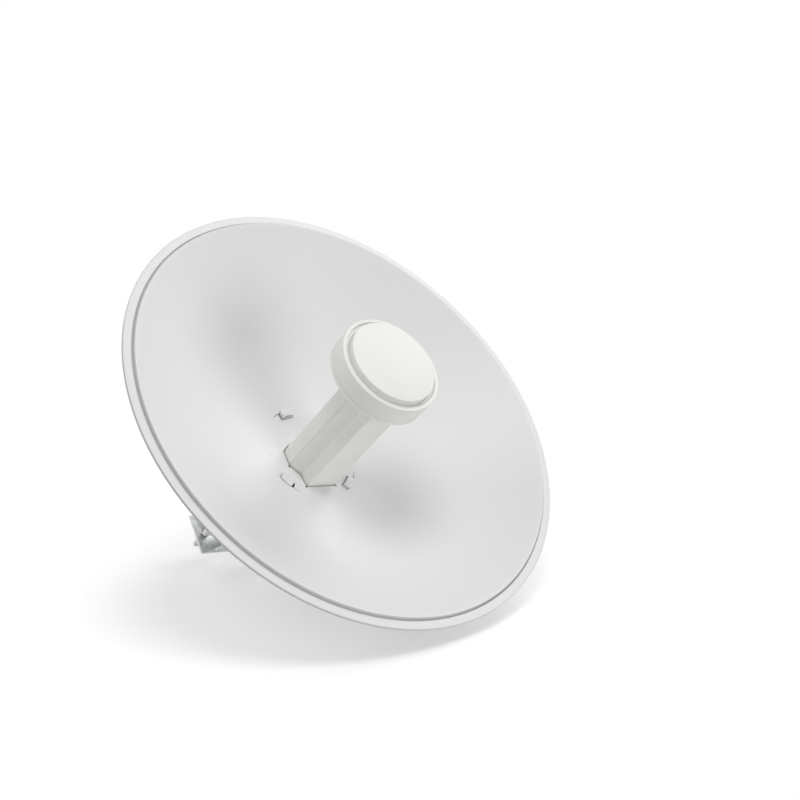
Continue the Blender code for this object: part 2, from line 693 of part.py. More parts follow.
def make_lower_shell(mats):
    seam = TUBE_SEAM_Z - GAP / 2
    outer = tube_outline(0.0, seam)
    inner = tube_outline(-TUBE_WALL, seam)
    lower = outer[8:] + outer[:4]
    lining = inner[8:] + inner[:4]
    ends = (along(HEAD_BOTTOM - GAP), along(TUBE_KEEL_END))
    outline = lower + lining[::-1]
    shell = prism("feed_tube_lower_shell", outline, "Y", *ends, mats["feed_plastic"], 20)
    vent = rectangle(TUBE_HALF - 2 * TUBE_WALL, VENT_Z, TUBE_HALF + TUBE_WALL, VENT_Z + VENT_WIDTH)
    return cut(shell, prism("vent", vent, "Y", along(VENT_END), along(VENT_START)))


def make_latch(mats):
    """A sprung ramp on the tube's side whose tail hooks behind the carrier plate."""
    near = TUBE_HALF + HOLE_CLEARANCE
    crown = LATCH_PIVOT_HEIGHT + LATCH_CROWN
    ramp_foot = bowl(LATCH_STAND_OFF) + LATCH_RAMP_GAP
    shoulder = PLATE_BACK - LATCH_HOOK_GAP
    tip = shoulder - LATCH_HOOK_HEIGHT
    side = [
        (near, crown),
        (near, LATCH_PIVOT_HEIGHT - LATCH_HEEL),
        (LATCH_TAIL_INNER, LATCH_ARM_HEIGHT),
        (LATCH_TAIL_INNER, tip),
        (LATCH_TAIL_OUTER + LATCH_BARB, tip),
        (LATCH_TAIL_OUTER + LATCH_HOOK, shoulder),
        (LATCH_TAIL_OUTER, shoulder),
        (LATCH_TAIL_OUTER, ramp_foot),
        (LATCH_STAND_OFF, ramp_foot),
        (LATCH_STAND_OFF, LATCH_RAMP_HEIGHT),
        (LATCH_PIVOT[0] + LATCH_PIVOT_REACH, crown),
    ]
    outline = [(x, along(height)) for x, height in side]
    ends = (LATCH_Z - LATCH_WIDTH / 2, LATCH_Z + LATCH_WIDTH / 2)
    latch = prism("feed_latch", outline, "Z", *ends, mats["feed_plastic"])
    set_origin(latch, (LATCH_PIVOT[0], along(LATCH_PIVOT[1]), LATCH_Z))
    return latch


# ---- Electronics --------------------------------------------------------------------------------


def make_board(mats):
    low = (-BOARD_HALF, along(BOARD_FRONT), BOARD_BOTTOM_Z)
    return block("main_board", low, (BOARD_HALF, along(BOARD_REAR), BOARD_TOP_Z), mats["board_green"])


def make_shield(mats):
    """A tinned can over the radio circuits, open towards the board."""
    base = BOARD_TOP_Z + GAP
    low = Vector((-SHIELD_HALF, along(HEAD_BOTTOM - SHIELD_HEAD_GAP), base))
    high = Vector((SHIELD_HALF, along(SHIELD_REAR), base + SHIELD_TALL))
    can = block("shield_can", low, high, mats["tin_plate"])
    wall = SHIELD_WALL
    return cut(can, block("inside", low + Vector((wall, wall, -wall)), high - Vector((wall,) * 3)))


def make_heat_spreader(mats):
    """An extruded finned bar in the keel, under the board."""
    half = KEEL_HALF - TUBE_WALL - HOLE_CLEARANCE
    top = BOARD_BOTTOM_Z - 2 * GAP
    plate = top - SPREADER_PLATE
    foot = KEEL_Z + TUBE_WALL + HOLE_CLEARANCE
    fin = SPREADER_FIN
    outline = [(-half, plate), (-half, foot), (-half + fin, foot), (-half + fin, plate)]
    outline += [(-fin / 2, plate), (-fin / 2, foot), (fin / 2, foot), (fin / 2, plate)]
    outline += [(half - fin, plate), (half - fin, foot), (half, foot), (half, plate)]
    outline = outline[1:-1] + [(half, top), (-half, top)]
    ends = (along(HEAD_BOTTOM - SPREADER_HEAD_GAP), along(SPREADER_REAR))
    return prism("heat_spreader", outline, "Y", *ends, mats["aluminium"])


def make_jack(mats):
    """The network jack on the board's tail, its mouth facing down."""
    top = BOARD_BOTTOM_Z - GAP
    y = along(INLET_HEIGHT)
    low = (-JACK_WIDTH / 2, y - JACK_DEPTH / 2, top - JACK_LENGTH)
    jack = block("ethernet_jack", low, (JACK_WIDTH / 2, y + JACK_DEPTH / 2, top), mats["tin_plate"])
    wide, deep, tall = JACK_MOUTH
    floor = top - JACK_LENGTH
    low = (-wide / 2, y - deep / 2, floor - OVERCUT)
    return cut(jack, block("mouth", low, (wide / 2, y + deep / 2, floor + tall)))


def make_transformer(mats):
    top = BOARD_BOTTOM_Z - GAP
    low = (-TRANSFORMER_HALF, along(TRANSFORMER_FRONT), top - TRANSFORMER_TALL)
    high = (TRANSFORMER_HALF, along(TRANSFORMER_REAR), top)
    return block("ethernet_transformer", low, high, mats["black_plastic"])


def make_switch(mats):
    top = BOARD_BOTTOM_Z - GAP
    x, height = SWITCH_PLACE
    half = SWITCH_SIZE / 2
    low = (x - half, along(height) - half, top - SWITCH_TALL)
    switch = block("reset_switch", low, (x + half, along(height) + half, top), mats["black_plastic"])
    ends = (top - SWITCH_TALL - OVERCUT, top - SWITCH_TALL + SWITCH_WELL)
    well = rod("well", BUTTON_RADIUS + HOLE_CLEARANCE, "Z", *ends, (x, along(height)), 14)
    return cut(switch, well)


def make_button(mats):
    floor = BOARD_BOTTOM_Z - GAP - SWITCH_TALL
    x, height = SWITCH_PLACE
    ends = (floor - BUTTON_STAND, floor + SWITCH_WELL - BUTTON_TRAVEL - GAP)
    button = rod("reset_button", BUTTON_RADIUS, "Z", *ends, (x, along(height)), 14, mats["rubber"])
    set_origin(button, (x, along(height), floor))
    return button


def make_feed_line(mats):
    """The semi-rigid line from the board to the radiator."""
    centre = (0.0, BOARD_TOP_Z + GAP + LINE_RADIUS)
    ends = (along(HEAD_SEAM + GAP), along(HEAD_BOTTOM - LINE_LAP))
    return rod("feed_line", LINE_RADIUS, "Y", *ends, centre, 10, mats["copper"])


# ---- Head ---------------------------------------------------------------------------------------


def make_head_base(mats):
    edge = HEAD_BASE_EDGE
    profile = [
        (0.0, HEAD_SEAM - GAP / 2),
        (HEAD_BASE_RADIUS, HEAD_SEAM - GAP / 2),
        (HEAD_BASE_RADIUS, HEAD_BOTTOM + edge),
        (HEAD_BASE_RADIUS - edge, HEAD_BOTTOM),
        (0.0, HEAD_BOTTOM),
    ]
    base = turned("head_base", profile, 48, mats["feed_plastic"])
    ends = (along(HEAD_SEAM + OVERCUT), along(HEAD_BOTTOM - OVERCUT))
    return cut(base, prism("line_window", rectangle(*LINE_WINDOW), "Y", *ends))


def make_head_drum(mats):
    """The drum: a ring wall with an inward annulus round the front disc."""
    edge = HEAD_DRUM_EDGE
    low = HEAD_INSIDE
    inner = HEAD_RADIUS - HEAD_WALL
    lip = HEAD_DISC_RADIUS + GAP
    under = HEAD_RING_TOP - HEAD_FLANGE
    profile = [(inner, low), (HEAD_RADIUS, low), (HEAD_RADIUS, HEAD_RING_TOP - edge)]
    profile += arc(edge, 45, 90, 2, (HEAD_RADIUS - edge, HEAD_RING_TOP - edge))
    profile += [(lip, HEAD_RING_TOP), (lip, under), (inner, under)]
    return turned("head_drum", profile, 48, mats["feed_plastic"])


def make_head_gasket(mats):
    width, tall = HEAD_GASKET
    outer = HEAD_RADIUS - HEAD_WALL - GAP
    low = HEAD_SEAM + GAP
    profile = rectangle(outer - width, low, outer, low + tall)
    return turned("head_gasket", profile, 32, mats["rubber"])


def make_head_disc(mats):
    """The raised front disc: a shallow cup whose flange sits behind the drum's annulus."""
    edge = HEAD_DISC_EDGE
    reach, thickness = HEAD_DISC_FLANGE
    flange_top = HEAD_RING_TOP - HEAD_FLANGE - GAP
    flange_low = flange_top - thickness
    wall = HEAD_DISC_WALL
    profile = [(0.0, HEAD_TOP), (HEAD_DISC_RADIUS - edge, HEAD_TOP)]
    profile += arc(edge, 45, 0, 1, (HEAD_DISC_RADIUS - edge, HEAD_TOP - edge))
    profile += [
        (HEAD_DISC_RADIUS, flange_top),
        (HEAD_DISC_RADIUS + reach, flange_top),
        (HEAD_DISC_RADIUS + reach, flange_low),
        (HEAD_DISC_RADIUS - wall, flange_low),
        (HEAD_DISC_RADIUS - wall, HEAD_TOP - wall),
        (0.0, HEAD_TOP - wall),
    ]
    return turned("head_disc", profile, 48, mats["feed_plastic"])


def make_spacer(mats):
    """A plastic ring that holds the sub-reflector off the head's base."""
    top = HEAD_INSIDE + SPACER_HEIGHT
    profile = rectangle(SPACER_RADIUS - SPACER_WALL, HEAD_INSIDE, SPACER_RADIUS, top)
    return turned("radiator_spacer", profile, 32, mats["dielectric"])


def make_subreflector(mats):
    """A spun disc on the spacer ring, with a flat rim and a shallow cone towards the radiator."""
    seat = HEAD_INSIDE + SPACER_HEIGHT + GAP
    flat = SUBREFLECTOR_RADIUS - SUBREFLECTOR_RIM
    profile = [
        (0.0, seat - SUBREFLECTOR_SINK),
        (flat, seat),
        (SUBREFLECTOR_RADIUS, seat),
        (SUBREFLECTOR_RADIUS, seat + SUBREFLECTOR_SHEET),
        (flat, seat + SUBREFLECTOR_SHEET),
        (0.0, seat + SUBREFLECTOR_SHEET - SUBREFLECTOR_SINK),
    ]
    return turned("subreflector", profile, 40, mats["aluminium"])


def make_radiator(mats):
    top = HEAD_INSIDE + RADIATOR_THICKNESS
    profile = rectangle(RADIATOR_BORE, HEAD_INSIDE, RADIATOR_RADIUS, top)
    return turned("feed_radiator", profile, 28, mats["board_green"])


# ---- Brackets -----------------------------------------------------------------------------------


def bracket_screw_places():
    x, z = BRACKET_SCREW_PLACE
    return [(side * x, level * z) for side in (-1, 1) for level in (-1, 1)]


def make_dish_bracket(mats):
    """The U bracket on the housing's back: a plate with two ears that tilt on the pivot bolt."""
    front = BRACKET_PLATE_BACK - BRACKET_SHEET
    tall = BRACKET_HALF_TALL
    plate = rectangle(-BRACKET_EAR, -tall, BRACKET_EAR, tall)
    bracket = prism("dish_bracket", plate, "Y", front, BRACKET_PLATE_BACK, mats["zinc_steel"])
    root = front + BRACKET_EAR_ROOT
    ear = [(front, -tall), (root, -tall)]
    ear += arc(LOCK_BOSS, -75, 0, 4, (PIVOT_Y, LOCK_Z))
    ear += arc(PIVOT_BOSS, 0, 75, 4, (PIVOT_Y, PIVOT_Z))
    ear += [(root, tall), (front, tall)]
    for side in (-1, 1):
        inner = side * (BRACKET_EAR - BRACKET_SHEET)
        join(bracket, prism("ear", ear, "X", inner, side * BRACKET_EAR))
    reach = BRACKET_EAR + BRACKET_SHEET
    for z in (PIVOT_Z, LOCK_Z):
        cut(bracket, rod("bolt_hole", BOLT_HOLE, "X", -reach, reach, (PIVOT_Y, z), 16))
    through = (front - OVERCUT, BRACKET_PLATE_BACK + OVERCUT)
    for x, z in bracket_screw_places() + [(0.0, 0.0)]:
        hole = BRACKET_SCREW_RADIUS + HOLE_CLEARANCE
        cut(bracket, rod("screw_hole", hole, "Y", *through, (x, z), 12))
    return bracket


def clamp_wing(name, side, mirror, low, high):
    """A toothed wing whose slanted edge bites the pole; mirror is -1 in front of it and 1 behind."""
    web = WEB_REACH + CLAMP_SHEET / 2
    end = WING_APEX - WING_TIP
    outline = [(WING_INNER, web), (WING_OUTER, web), (WING_OUTER, WING_TIP), (end, WING_TIP)]
    pitch = (end - WING_INNER) / TOOTH_COUNT
    for i in range(TOOTH_COUNT):
        root = end - (i + 0.5) * pitch
        crest = end - (i + 1) * pitch
        outline.append((root + TOOTH / 2, WING_APEX - root + TOOTH / 2))
        outline.append((crest, WING_APEX - crest))
    points = [(side * x, mirror * y) for x, y in outline]
    return prism(name, points, "Z", low, high)


def clamp_web(name, mirror, half_tall, mats):
    """A web with its bolt holes and four toothed wings."""
    near = mirror * WEB_REACH
    far = mirror * (WEB_REACH + CLAMP_SHEET)
    web = rectangle(-CLAMP_HALF_WIDE, -half_tall, CLAMP_HALF_WIDE, half_tall)
    clamp = prism(name, web, "Y", min(near, far), max(near, far), mats["zinc_steel"])
    for side in (-1, 1):
        for level in (-1, 1):
            edges = sorted((level * half_tall, level * (half_tall - CLAMP_SHEET)))
            join(clamp, clamp_wing("wing", side, mirror, *edges))
        through = (min(near, far) - OVERCUT, max(near, far) + OVERCUT)
        hole = rod("bolt_hole", BOLT_HOLE, "Y", *through, (side * CLAMP_BOLT_X, 0.0), 16)
        cut(clamp, hole)
    return clamp


def pole_ear_outline():
    """A pole bracket's ear in Y and Z, with room for the arc slot below the pivot."""
    pivot = (PIVOT_Y, PIVOT_Z)
    web = -WEB_REACH - CLAMP_SHEET / 2
    half = TILT_LIMIT + EAR_SLOT_MARGIN
    crown = arc(EAR_CROWN, 90, 180, 5, pivot)
    slot_outer = TILT_ARM + BOLT_HOLE + EAR_SLOT_WALL
    sector = arc(slot_outer, -90 - half, -90 + half, 10, pivot)
    inside = [point for point in sector if point[0] < web - GAP]
    low = -EAR_HALF_TALL
    return crown + inside + [(web, low), (web, EAR_HALF_TALL)]


def tilt_slot_outline():
    """The arc slot that the lock bolt runs in, with round ends."""
    pivot = (PIVOT_Y, PIVOT_Z)
    half = TILT_LIMIT + 1.0
    first = polar(TILT_ARM, -90 - half, pivot)
    last = polar(TILT_ARM, -90 + half, pivot)
    outline = arc(TILT_ARM + BOLT_HOLE, -90 - half, -90 + half, 8, pivot)
    outline += arc(BOLT_HOLE, -60 + half, 60 + half, 4, last)
    outline += arc(TILT_ARM - BOLT_HOLE, -90 + half, -90 - half, 8, pivot)
    outline += arc(BOLT_HOLE, 120 - half, 240 - half, 4, first)
    return outline


def make_pole_bracket(mats):
    """The fixed bracket: a toothed saddle for the pole and two ears with the tilt slots."""
    bracket = clamp_web("pole_bracket", -1, CLAMP_HALF_TALL, mats)
    front = -WEB_REACH - CLAMP_SHEET
    half = BRACKET_EAR + HOLE_CLEARANCE
    window = rectangle(-half, -BRACKET_WINDOW_HALF, half, BRACKET_WINDOW_HALF)
    cut(bracket, prism("window", window, "Y", front - OVERCUT, -WEB_REACH + OVERCUT))
    pivot = (PIVOT_Y, PIVOT_Z)
    outline = pole_ear_outline()
    slot = tilt_slot_outline()
    for side in (-1, 1):
        ear = prism("ear", outline, "X", side * EAR_INNER, side * EAR_OUTER)
        join(bracket, ear)
        ends = (side * (EAR_INNER - OVERCUT), side * (EAR_OUTER + OVERCUT))
        cut(bracket, rod("pivot_hole", BOLT_HOLE, "X", *ends, pivot, 16))
        cut(bracket, prism("tilt_slot", slot, "X", *ends))
    return bracket


def make_jaw(mats):
    return clamp_web("clamp_jaw", 1, JAW_HALF_TALL, mats)


# ---- Fasteners ----------------------------------------------------------------------------------


def screw(name, place, head_at, length, radius, head, material_of):
    """A pan-head screw whose head lies at a Y and whose shank runs forward."""
    x, z = place
    bevel = SCREW_HEAD_TALL / 3
    profile = [
        (0.0, SCREW_HEAD_TALL),
        (head - bevel, SCREW_HEAD_TALL),
        (head, SCREW_HEAD_TALL - bevel),
        (head, 0.0),
        (radius, 0.0),
        (radius, -length),
        (0.0, -length),
    ]
    base = DISH_CENTRE_Y - head_at
    profile = [(r, base - h) for r, h in profile]
    return turned(name, profile, 14, material_of, 35, (x, z))


def hexagon(radius, centre):
    return [polar(radius, 60 * i, centre) for i in range(6)]


def hex_bolt(name, axis, head, shank_end, centre, mats):
    """A hex bolt along X: the head's two faces, then where the shank ends."""
    bolt = prism(name, hexagon(NUT_ACROSS_RADIUS, centre), axis, *head, mats["bolt_steel"])
    middle = (head[0] + head[1]) / 2
    return join(bolt, rod("shank", BOLT_RADIUS, axis, middle, shank_end, centre, 16))


def nut(name, axis, start, end, centre, mats):
    body = prism(name, hexagon(NUT_ACROSS_RADIUS, centre), axis, start, end, mats["bolt_steel"])
    low, high = min(start, end) - OVERCUT, max(start, end) + OVERCUT
    return cut(body, rod("bore", BOLT_RADIUS + GAP, axis, low, high, centre, 16))


def washer(name, axis, start, end, centre, mats):
    disc = rod(name, WASHER_RADIUS, axis, start, end, centre, 20, mats["bolt_steel"])
    low, high = min(start, end) - OVERCUT, max(start, end) + OVERCUT
    return cut(disc, rod("bore", BOLT_RADIUS + GAP, axis, low, high, centre, 16))


def make_cross_bolt(name, z, mats):
    """A hex bolt through all four ears, with its washers and nut."""
    centre = (PIVOT_Y, z)
    face = EAR_OUTER + GAP
    washer_face = face + WASHER_TALL + GAP
    washer(f"{name}_washer_right", "X", face, face + WASHER_TALL, centre, mats)
    washer(f"{name}_washer_left", "X", -face - WASHER_TALL, -face, centre, mats)
    nut(f"{name}_nut", "X", -washer_face - NUT_TALL, -washer_face, centre, mats)
    head = (washer_face, washer_face + BOLT_HEAD_TALL)
    end = -washer_face - NUT_TALL - BOLT_END
    bolt = hex_bolt(f"{name}_bolt", "X", head, end, centre, mats)
    if name == "pivot":
        set_origin(bolt, (0.0, PIVOT_Y, z))


def make_clamp_bolts(mats):
    """Two domed bolts through the saddle and the jaw, with washers and nuts behind the jaw."""
    web_front = -WEB_REACH - CLAMP_SHEET
    jaw_back = WEB_REACH + CLAMP_SHEET
    for side, hand in ((-1, "left"), (1, "right")):
        centre = (side * CLAMP_BOLT_X, 0.0)
        head = web_front - GAP
        profile = list(CLAMP_DOME)
        profile += [(BOLT_RADIUS, 0.0), (BOLT_RADIUS, head - CLAMP_BOLT_END)]
        profile += [(0.0, head - CLAMP_BOLT_END)]
        base = DISH_CENTRE_Y - head
        shape = [(radius, base + height) for radius, height in profile]
        turned(f"clamp_bolt_{hand}", shape, 16, mats["bolt_steel"], 35, centre)
        start = jaw_back + GAP
        washer(f"clamp_washer_{hand}", "Y", start, start + WASHER_TALL, centre, mats)
        start += WASHER_TALL + GAP
        nut(f"clamp_nut_{hand}", "Y", start, start + NUT_TALL, centre, mats)


def make_screws(mats):
    housing_face = along(HOUSING_BACK) + GAP
    reach = HOUSING_WALL + SCREW_REACH
    for number, place in enumerate(boss_places(), 1):
        screw(f"housing_screw_{number}", place, housing_face, reach, SCREW_RADIUS, SCREW_HEAD,
              mats["bolt_steel"])
    plate_face = BRACKET_PLATE_BACK + GAP
    for number, place in enumerate(bracket_screw_places(), 1):
        screw(f"bracket_screw_{number}", place, plate_face, BRACKET_SCREW_LENGTH,
              BRACKET_SCREW_RADIUS, BRACKET_SCREW_HEAD, mats["bolt_steel"])
    screw("ground_screw", (0.0, 0.0), plate_face, BRACKET_SHEET - GAP, BRACKET_SCREW_RADIUS,
          BRACKET_SCREW_HEAD, mats["copper"])


# ---- Assembly -----------------------------------------------------------------------------------


def clear_scene():
    for item in list(bpy.data.objects):
        bpy.data.objects.remove(item)


def main():
    clear_scene()
    mats = make_materials()
    makers = (
        make_dish, make_gasket, make_carrier, make_housing, make_window, make_door,
        make_grommet, make_upper_shell, make_lower_shell, make_latch, make_board, make_shield,
        make_heat_spreader, make_jack, make_transformer, make_switch, make_button,
        make_feed_line, make_head_base, make_head_drum, make_head_gasket, make_head_disc,
        make_spacer, make_subreflector, make_radiator, make_dish_bracket, make_pole_bracket,
        make_jaw, make_clamp_bolts, make_screws,
    )
    for make in makers:
        make(mats)
    make_cross_bolt("pivot", PIVOT_Z, mats)
    make_cross_bolt("lock", LOCK_Z, mats)


main()
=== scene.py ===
# %% [markdown]
# # The looks of an outdoor wireless bridge
#
# The object is a dish reflector with a radio feed standing in its middle and a tilting pole clamp
# behind it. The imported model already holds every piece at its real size. This file loads it as a
# fixed frame and dresses it: finely modelled skins for what shows, a finish for every surface,
# soft light, a stage and a camera.

# %% Loading the frame
import json
import math

import bmesh
import bpy
from mathutils import Matrix, Vector

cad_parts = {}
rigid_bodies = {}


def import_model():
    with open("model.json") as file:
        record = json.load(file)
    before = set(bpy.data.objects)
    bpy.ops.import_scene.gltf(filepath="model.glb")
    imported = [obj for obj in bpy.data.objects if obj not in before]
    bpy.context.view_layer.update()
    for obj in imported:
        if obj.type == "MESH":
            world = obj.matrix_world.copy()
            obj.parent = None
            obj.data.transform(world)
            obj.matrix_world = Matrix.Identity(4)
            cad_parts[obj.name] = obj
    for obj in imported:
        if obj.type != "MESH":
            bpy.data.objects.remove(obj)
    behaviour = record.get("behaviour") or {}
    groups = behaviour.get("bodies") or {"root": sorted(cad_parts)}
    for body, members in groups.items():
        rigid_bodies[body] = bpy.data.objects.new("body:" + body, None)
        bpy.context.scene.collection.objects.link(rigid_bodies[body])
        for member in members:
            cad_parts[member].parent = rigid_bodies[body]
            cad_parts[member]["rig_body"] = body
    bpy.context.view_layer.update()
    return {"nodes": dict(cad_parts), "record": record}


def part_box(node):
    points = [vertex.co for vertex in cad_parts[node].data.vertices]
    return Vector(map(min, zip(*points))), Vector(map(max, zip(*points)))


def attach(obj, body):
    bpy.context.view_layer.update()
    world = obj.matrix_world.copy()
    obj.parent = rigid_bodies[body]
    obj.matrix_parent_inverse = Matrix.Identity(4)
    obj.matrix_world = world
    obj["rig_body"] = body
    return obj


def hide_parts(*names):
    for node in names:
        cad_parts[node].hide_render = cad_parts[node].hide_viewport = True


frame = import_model()
nodes = frame["nodes"]
slot_of = {row["node"]: row["material_slot"] for row in frame["record"]["subparts"]}

# %% [markdown]
# ## Where things are
#
# The dish looks along -Y, so every turned piece of the antenna shares one axis. Heights are counted
# forward from the dish's centre, as on a maker's drawing, and one small function turns a height
# into a place along Y. Radii and heights are read from the frame's own pieces, so that a skin can
# never drift off the solid that it dresses.

# %% Sizes read from the frame
BOWL_DEPTH = 0.0830
dish_low, dish_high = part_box("dish_reflector")
RIM = (dish_high.x - dish_low.x) / 2
DISH_Y = dish_low.y + BOWL_DEPTH


def along(height):
    return DISH_Y - height


def span(node):
    """A turned piece's radius and its rear and front heights."""
    low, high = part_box(node)
    return (high.x - low.x) / 2, DISH_Y - high.y, DISH_Y - low.y


print("rim radius", round(RIM, 4), "dish centre at y", round(DISH_Y, 4))

# %% [markdown]
# ## Node arithmetic
#
# A finish is a network of nodes, and a network written link by link is hard to read. The class
# below wraps one output of a node. Adding, subtracting or multiplying it adds the Math node that
# works it out, so `0.45 + 0.1 * grain` reads like any other sum. Everything else comes from one
# method of the finish: a node's type, its settings, then the values or links of its sockets.


# %% A signal, and a finish that makes nodes
class Signal:
    """One output of a node."""

    def __init__(self, finish, socket):
        self.finish = finish
        self.socket = socket

    def sum(self, operation, first, second):
        return self.finish.node("ShaderNodeMath", {"operation": operation}, {0: first, 1: second})

    def __add__(self, other):
        return self.sum("ADD", self, other)

    def __radd__(self, other):
        return self.sum("ADD", other, self)

    def __sub__(self, other):
        return self.sum("SUBTRACT", self, other)

    def __rsub__(self, other):
        return self.sum("SUBTRACT", other, self)

    def __mul__(self, other):
        return self.sum("MULTIPLY", self, other)

    def __rmul__(self, other):
        return self.sum("MULTIPLY", other, self)


class Finish:
    """A material whose constants sit on the shader and whose variation is made of nodes."""

    def __init__(self, name, colour, roughness, **constants):
        self.material = bpy.data.materials.new(name)
        self.material.use_nodes = True
        self.shader = self.material.node_tree.nodes["Principled BSDF"]
        self.shader.inputs["Base Color"].default_value = (*colour, 1.0)
        self.shader.inputs["Roughness"].default_value = roughness
        for socket, value in constants.items():
            self.shader.inputs[socket.replace("_", " ")].default_value = value

    def set(self, socket, value):
        if isinstance(value, Signal):
            self.material.node_tree.links.new(value.socket, socket)
        else:
            socket.default_value = value

    def node(self, kind, settings=None, sockets=None, output=0):
        made = self.material.node_tree.nodes.new(kind)
        for key, value in (settings or {}).items():
            if key == "stops":
                for stop, (place, shade) in zip(made.color_ramp.elements, value):
                    stop.position = place
                    stop.color = (shade, shade, shade, 1.0)
            else:
                setattr(made, key, value)
        for key, value in (sockets or {}).items():
            self.set(made.inputs[key], value)
        return Signal(self, made.outputs[output])

    def place(self, stretch=(1.0, 1.0, 1.0)):
        """Object coordinates in metres, squeezed along an axis where the grain runs."""
        here = self.node("ShaderNodeTexCoord", output="Object")
        return self.node("ShaderNodeMapping", {}, {"Vector": here, "Scale": stretch})

    def noise(self, at, scale, detail=3.0):
        sockets = {"Vector": at, "Scale": scale, "Detail": detail}
        return self.node("ShaderNodeTexNoise", {}, sockets, "Fac")

    def cells(self, at, scale):
        return self.node("ShaderNodeTexVoronoi", {}, {"Vector": at, "Scale": scale}, "Color")

    def steps(self, signal, low, high):
        """Black below one level and white above the other."""
        return self.node("ShaderNodeValToRGB", {"stops": [(low, 0.0), (high, 1.0)]}, {"Fac": signal})

    def blend(self, first, second, factor):
        """One colour turning into another."""
        sockets = {0: factor, 6: (*first, 1.0), 7: (*second, 1.0)}
        return self.node("ShaderNodeMix", {"data_type": "RGBA"}, sockets, 2)

    def feed(self, socket, signal):
        self.set(self.shader.inputs[socket], signal)

    def bump(self, height, strength, distance):
        sockets = {"Strength": strength, "Distance": distance, "Height": height}
        self.feed("Normal", self.node("ShaderNodeBump", {}, sockets, "Normal"))


finishes = {}
print("node arithmetic ready")

# %% [markdown]
# ## Powder coat on the dish
#
# The reflector is pressed steel, sprayed with dry powder and baked. The powder flows out into a
# faint orange peel of about a millimetre, a little duller in its valleys. A flat white would look
# like paper, so two grains of noise drive a shallow bump and the roughness, and a very slow, weak
# drift of the white stands for the coat's uneven thickness. Painted shade darkens the gutter round
# the rim and the lip's edge, standing in for the shadow that falls there: both are rings, so a
# point's distance from the axis picks them out.

# %% The dish's coat
# Rings of painted shade, given as four times the distance from the axis, in metres, at which the shade starts
# and ends
GUTTER_SHADE_START = (0.8015, 0.8035)
GUTTER_SHADE_END = (0.8080, 0.8110)
LIP_SHADE_START = (0.8385, 0.8397)


def powder_coat():
    coat = Finish("powder_coat", (0.79, 0.79, 0.79), 0.42, Specular_IOR_Level=0.42)
    at = coat.place()
    peel = coat.noise(at, 620.0, 2.0)
    fine = coat.noise(at, 2600.0, 1.0)
    drift = coat.noise(at, 9.0, 2.0)
    flat = coat.node("ShaderNodeVectorMath", {"operation": "MULTIPLY"}, {0: at, 1: (1.0, 0.0, 1.0)})
    radius = coat.node("ShaderNodeVectorMath", {"operation": "LENGTH"}, {0: flat}, "Value")
    # Painted shade: the gutter and the lip's edge are darkened towards grey in the base colour, standing in for
    # the shadow that falls in them, and made a little rougher
    gutter = coat.steps(radius * 4.0, *GUTTER_SHADE_START) * (1 - coat.steps(radius * 4.0, *GUTTER_SHADE_END))
    painted_shade = 0.55 * gutter + 0.45 * coat.steps(radius * 4.0, *LIP_SHADE_START)
    unshaded_white = coat.blend((0.775, 0.777, 0.780), (0.805, 0.805, 0.803), drift)
    # the dark grey mixed into the white here is the painted shade
    shade_mix = {0: painted_shade * (0.7 + 0.6 * fine), 6: unshaded_white, 7: (0.30, 0.30, 0.30, 1.0)}
    coat.feed("Base Color", coat.node("ShaderNodeMix", {"data_type": "RGBA"}, shade_mix, 2))
    coat.feed("Roughness", 0.36 + 0.10 * peel + 0.05 * fine + 0.15 * painted_shade)
    coat.bump(peel + 0.25 * fine, 0.16, 0.00025)
    return coat.material


finishes["powder_coated_sheet"] = powder_coat()
print("made", finishes["powder_coated_sheet"].name)

# %% [markdown]
# ## Moulded plastics
#
# The feed and its head are a warm, weather-proof white, the rear housing a cooler one. Moulded
# parts copy their tool, whose spark-eroded steel leaves a very fine even grain. One function makes
# every plastic and rubber here: a grain size, how deep it is, how rough it is, and two
# shades that the colour wanders between.


# %% One recipe for moulded pieces
def moulded(name, dark, light, roughness, grain, depth, **constants):
    plastic = Finish(name, light, roughness, **constants)
    at = plastic.place()
    skin = plastic.noise(at, grain, 2.0)
    cloud = plastic.noise(at, 34.0, 2.0)
    plastic.feed("Base Color", plastic.blend(dark, light, plastic.steps(cloud, 0.35, 0.65)))
    plastic.feed("Roughness", roughness - 0.06 + 0.12 * skin)
    plastic.bump(skin, 0.25, depth)
    return plastic.material


finishes["feed_plastic"] = moulded(
    "feed_plastic", (0.815, 0.808, 0.780), (0.840, 0.834, 0.808), 0.44, 2400.0, 0.00008)
finishes["housing_plastic"] = moulded(
    "housing_plastic", (0.745, 0.748, 0.745), (0.775, 0.778, 0.775), 0.50, 1700.0, 0.00012)
finishes["black_plastic"] = moulded(
    "black_plastic", (0.018, 0.018, 0.020), (0.030, 0.030, 0.032), 0.48, 1900.0, 0.00010)
finishes["dielectric"] = moulded(
    "dielectric", (0.79, 0.79, 0.76), (0.84, 0.84, 0.81), 0.52, 1500.0, 0.00008)
finishes["rubber"] = moulded(
    "rubber", (0.022, 0.022, 0.022), (0.040, 0.039, 0.038), 0.74, 1300.0, 0.00020)
finishes["window_plastic"] = moulded(
    "window_plastic", (0.40, 0.43, 0.46), (0.47, 0.50, 0.53), 0.16, 300.0, 0.00003,
    Coat_Weight=0.4)
print("moulded finishes:", len(finishes) - 1)

# %% [markdown]
# ## Metals
#
# The brackets are hot-dipped in zinc. As it freezes, the zinc grows flat crystals a few
# millimetres wide, each catching the light a little differently: cells from a Voronoi texture give
# each crystal its own shade and gloss. Bolts, can and spreader are drawn or turned metal, whose
# fine lines run one way, so their noise is stretched along that way.


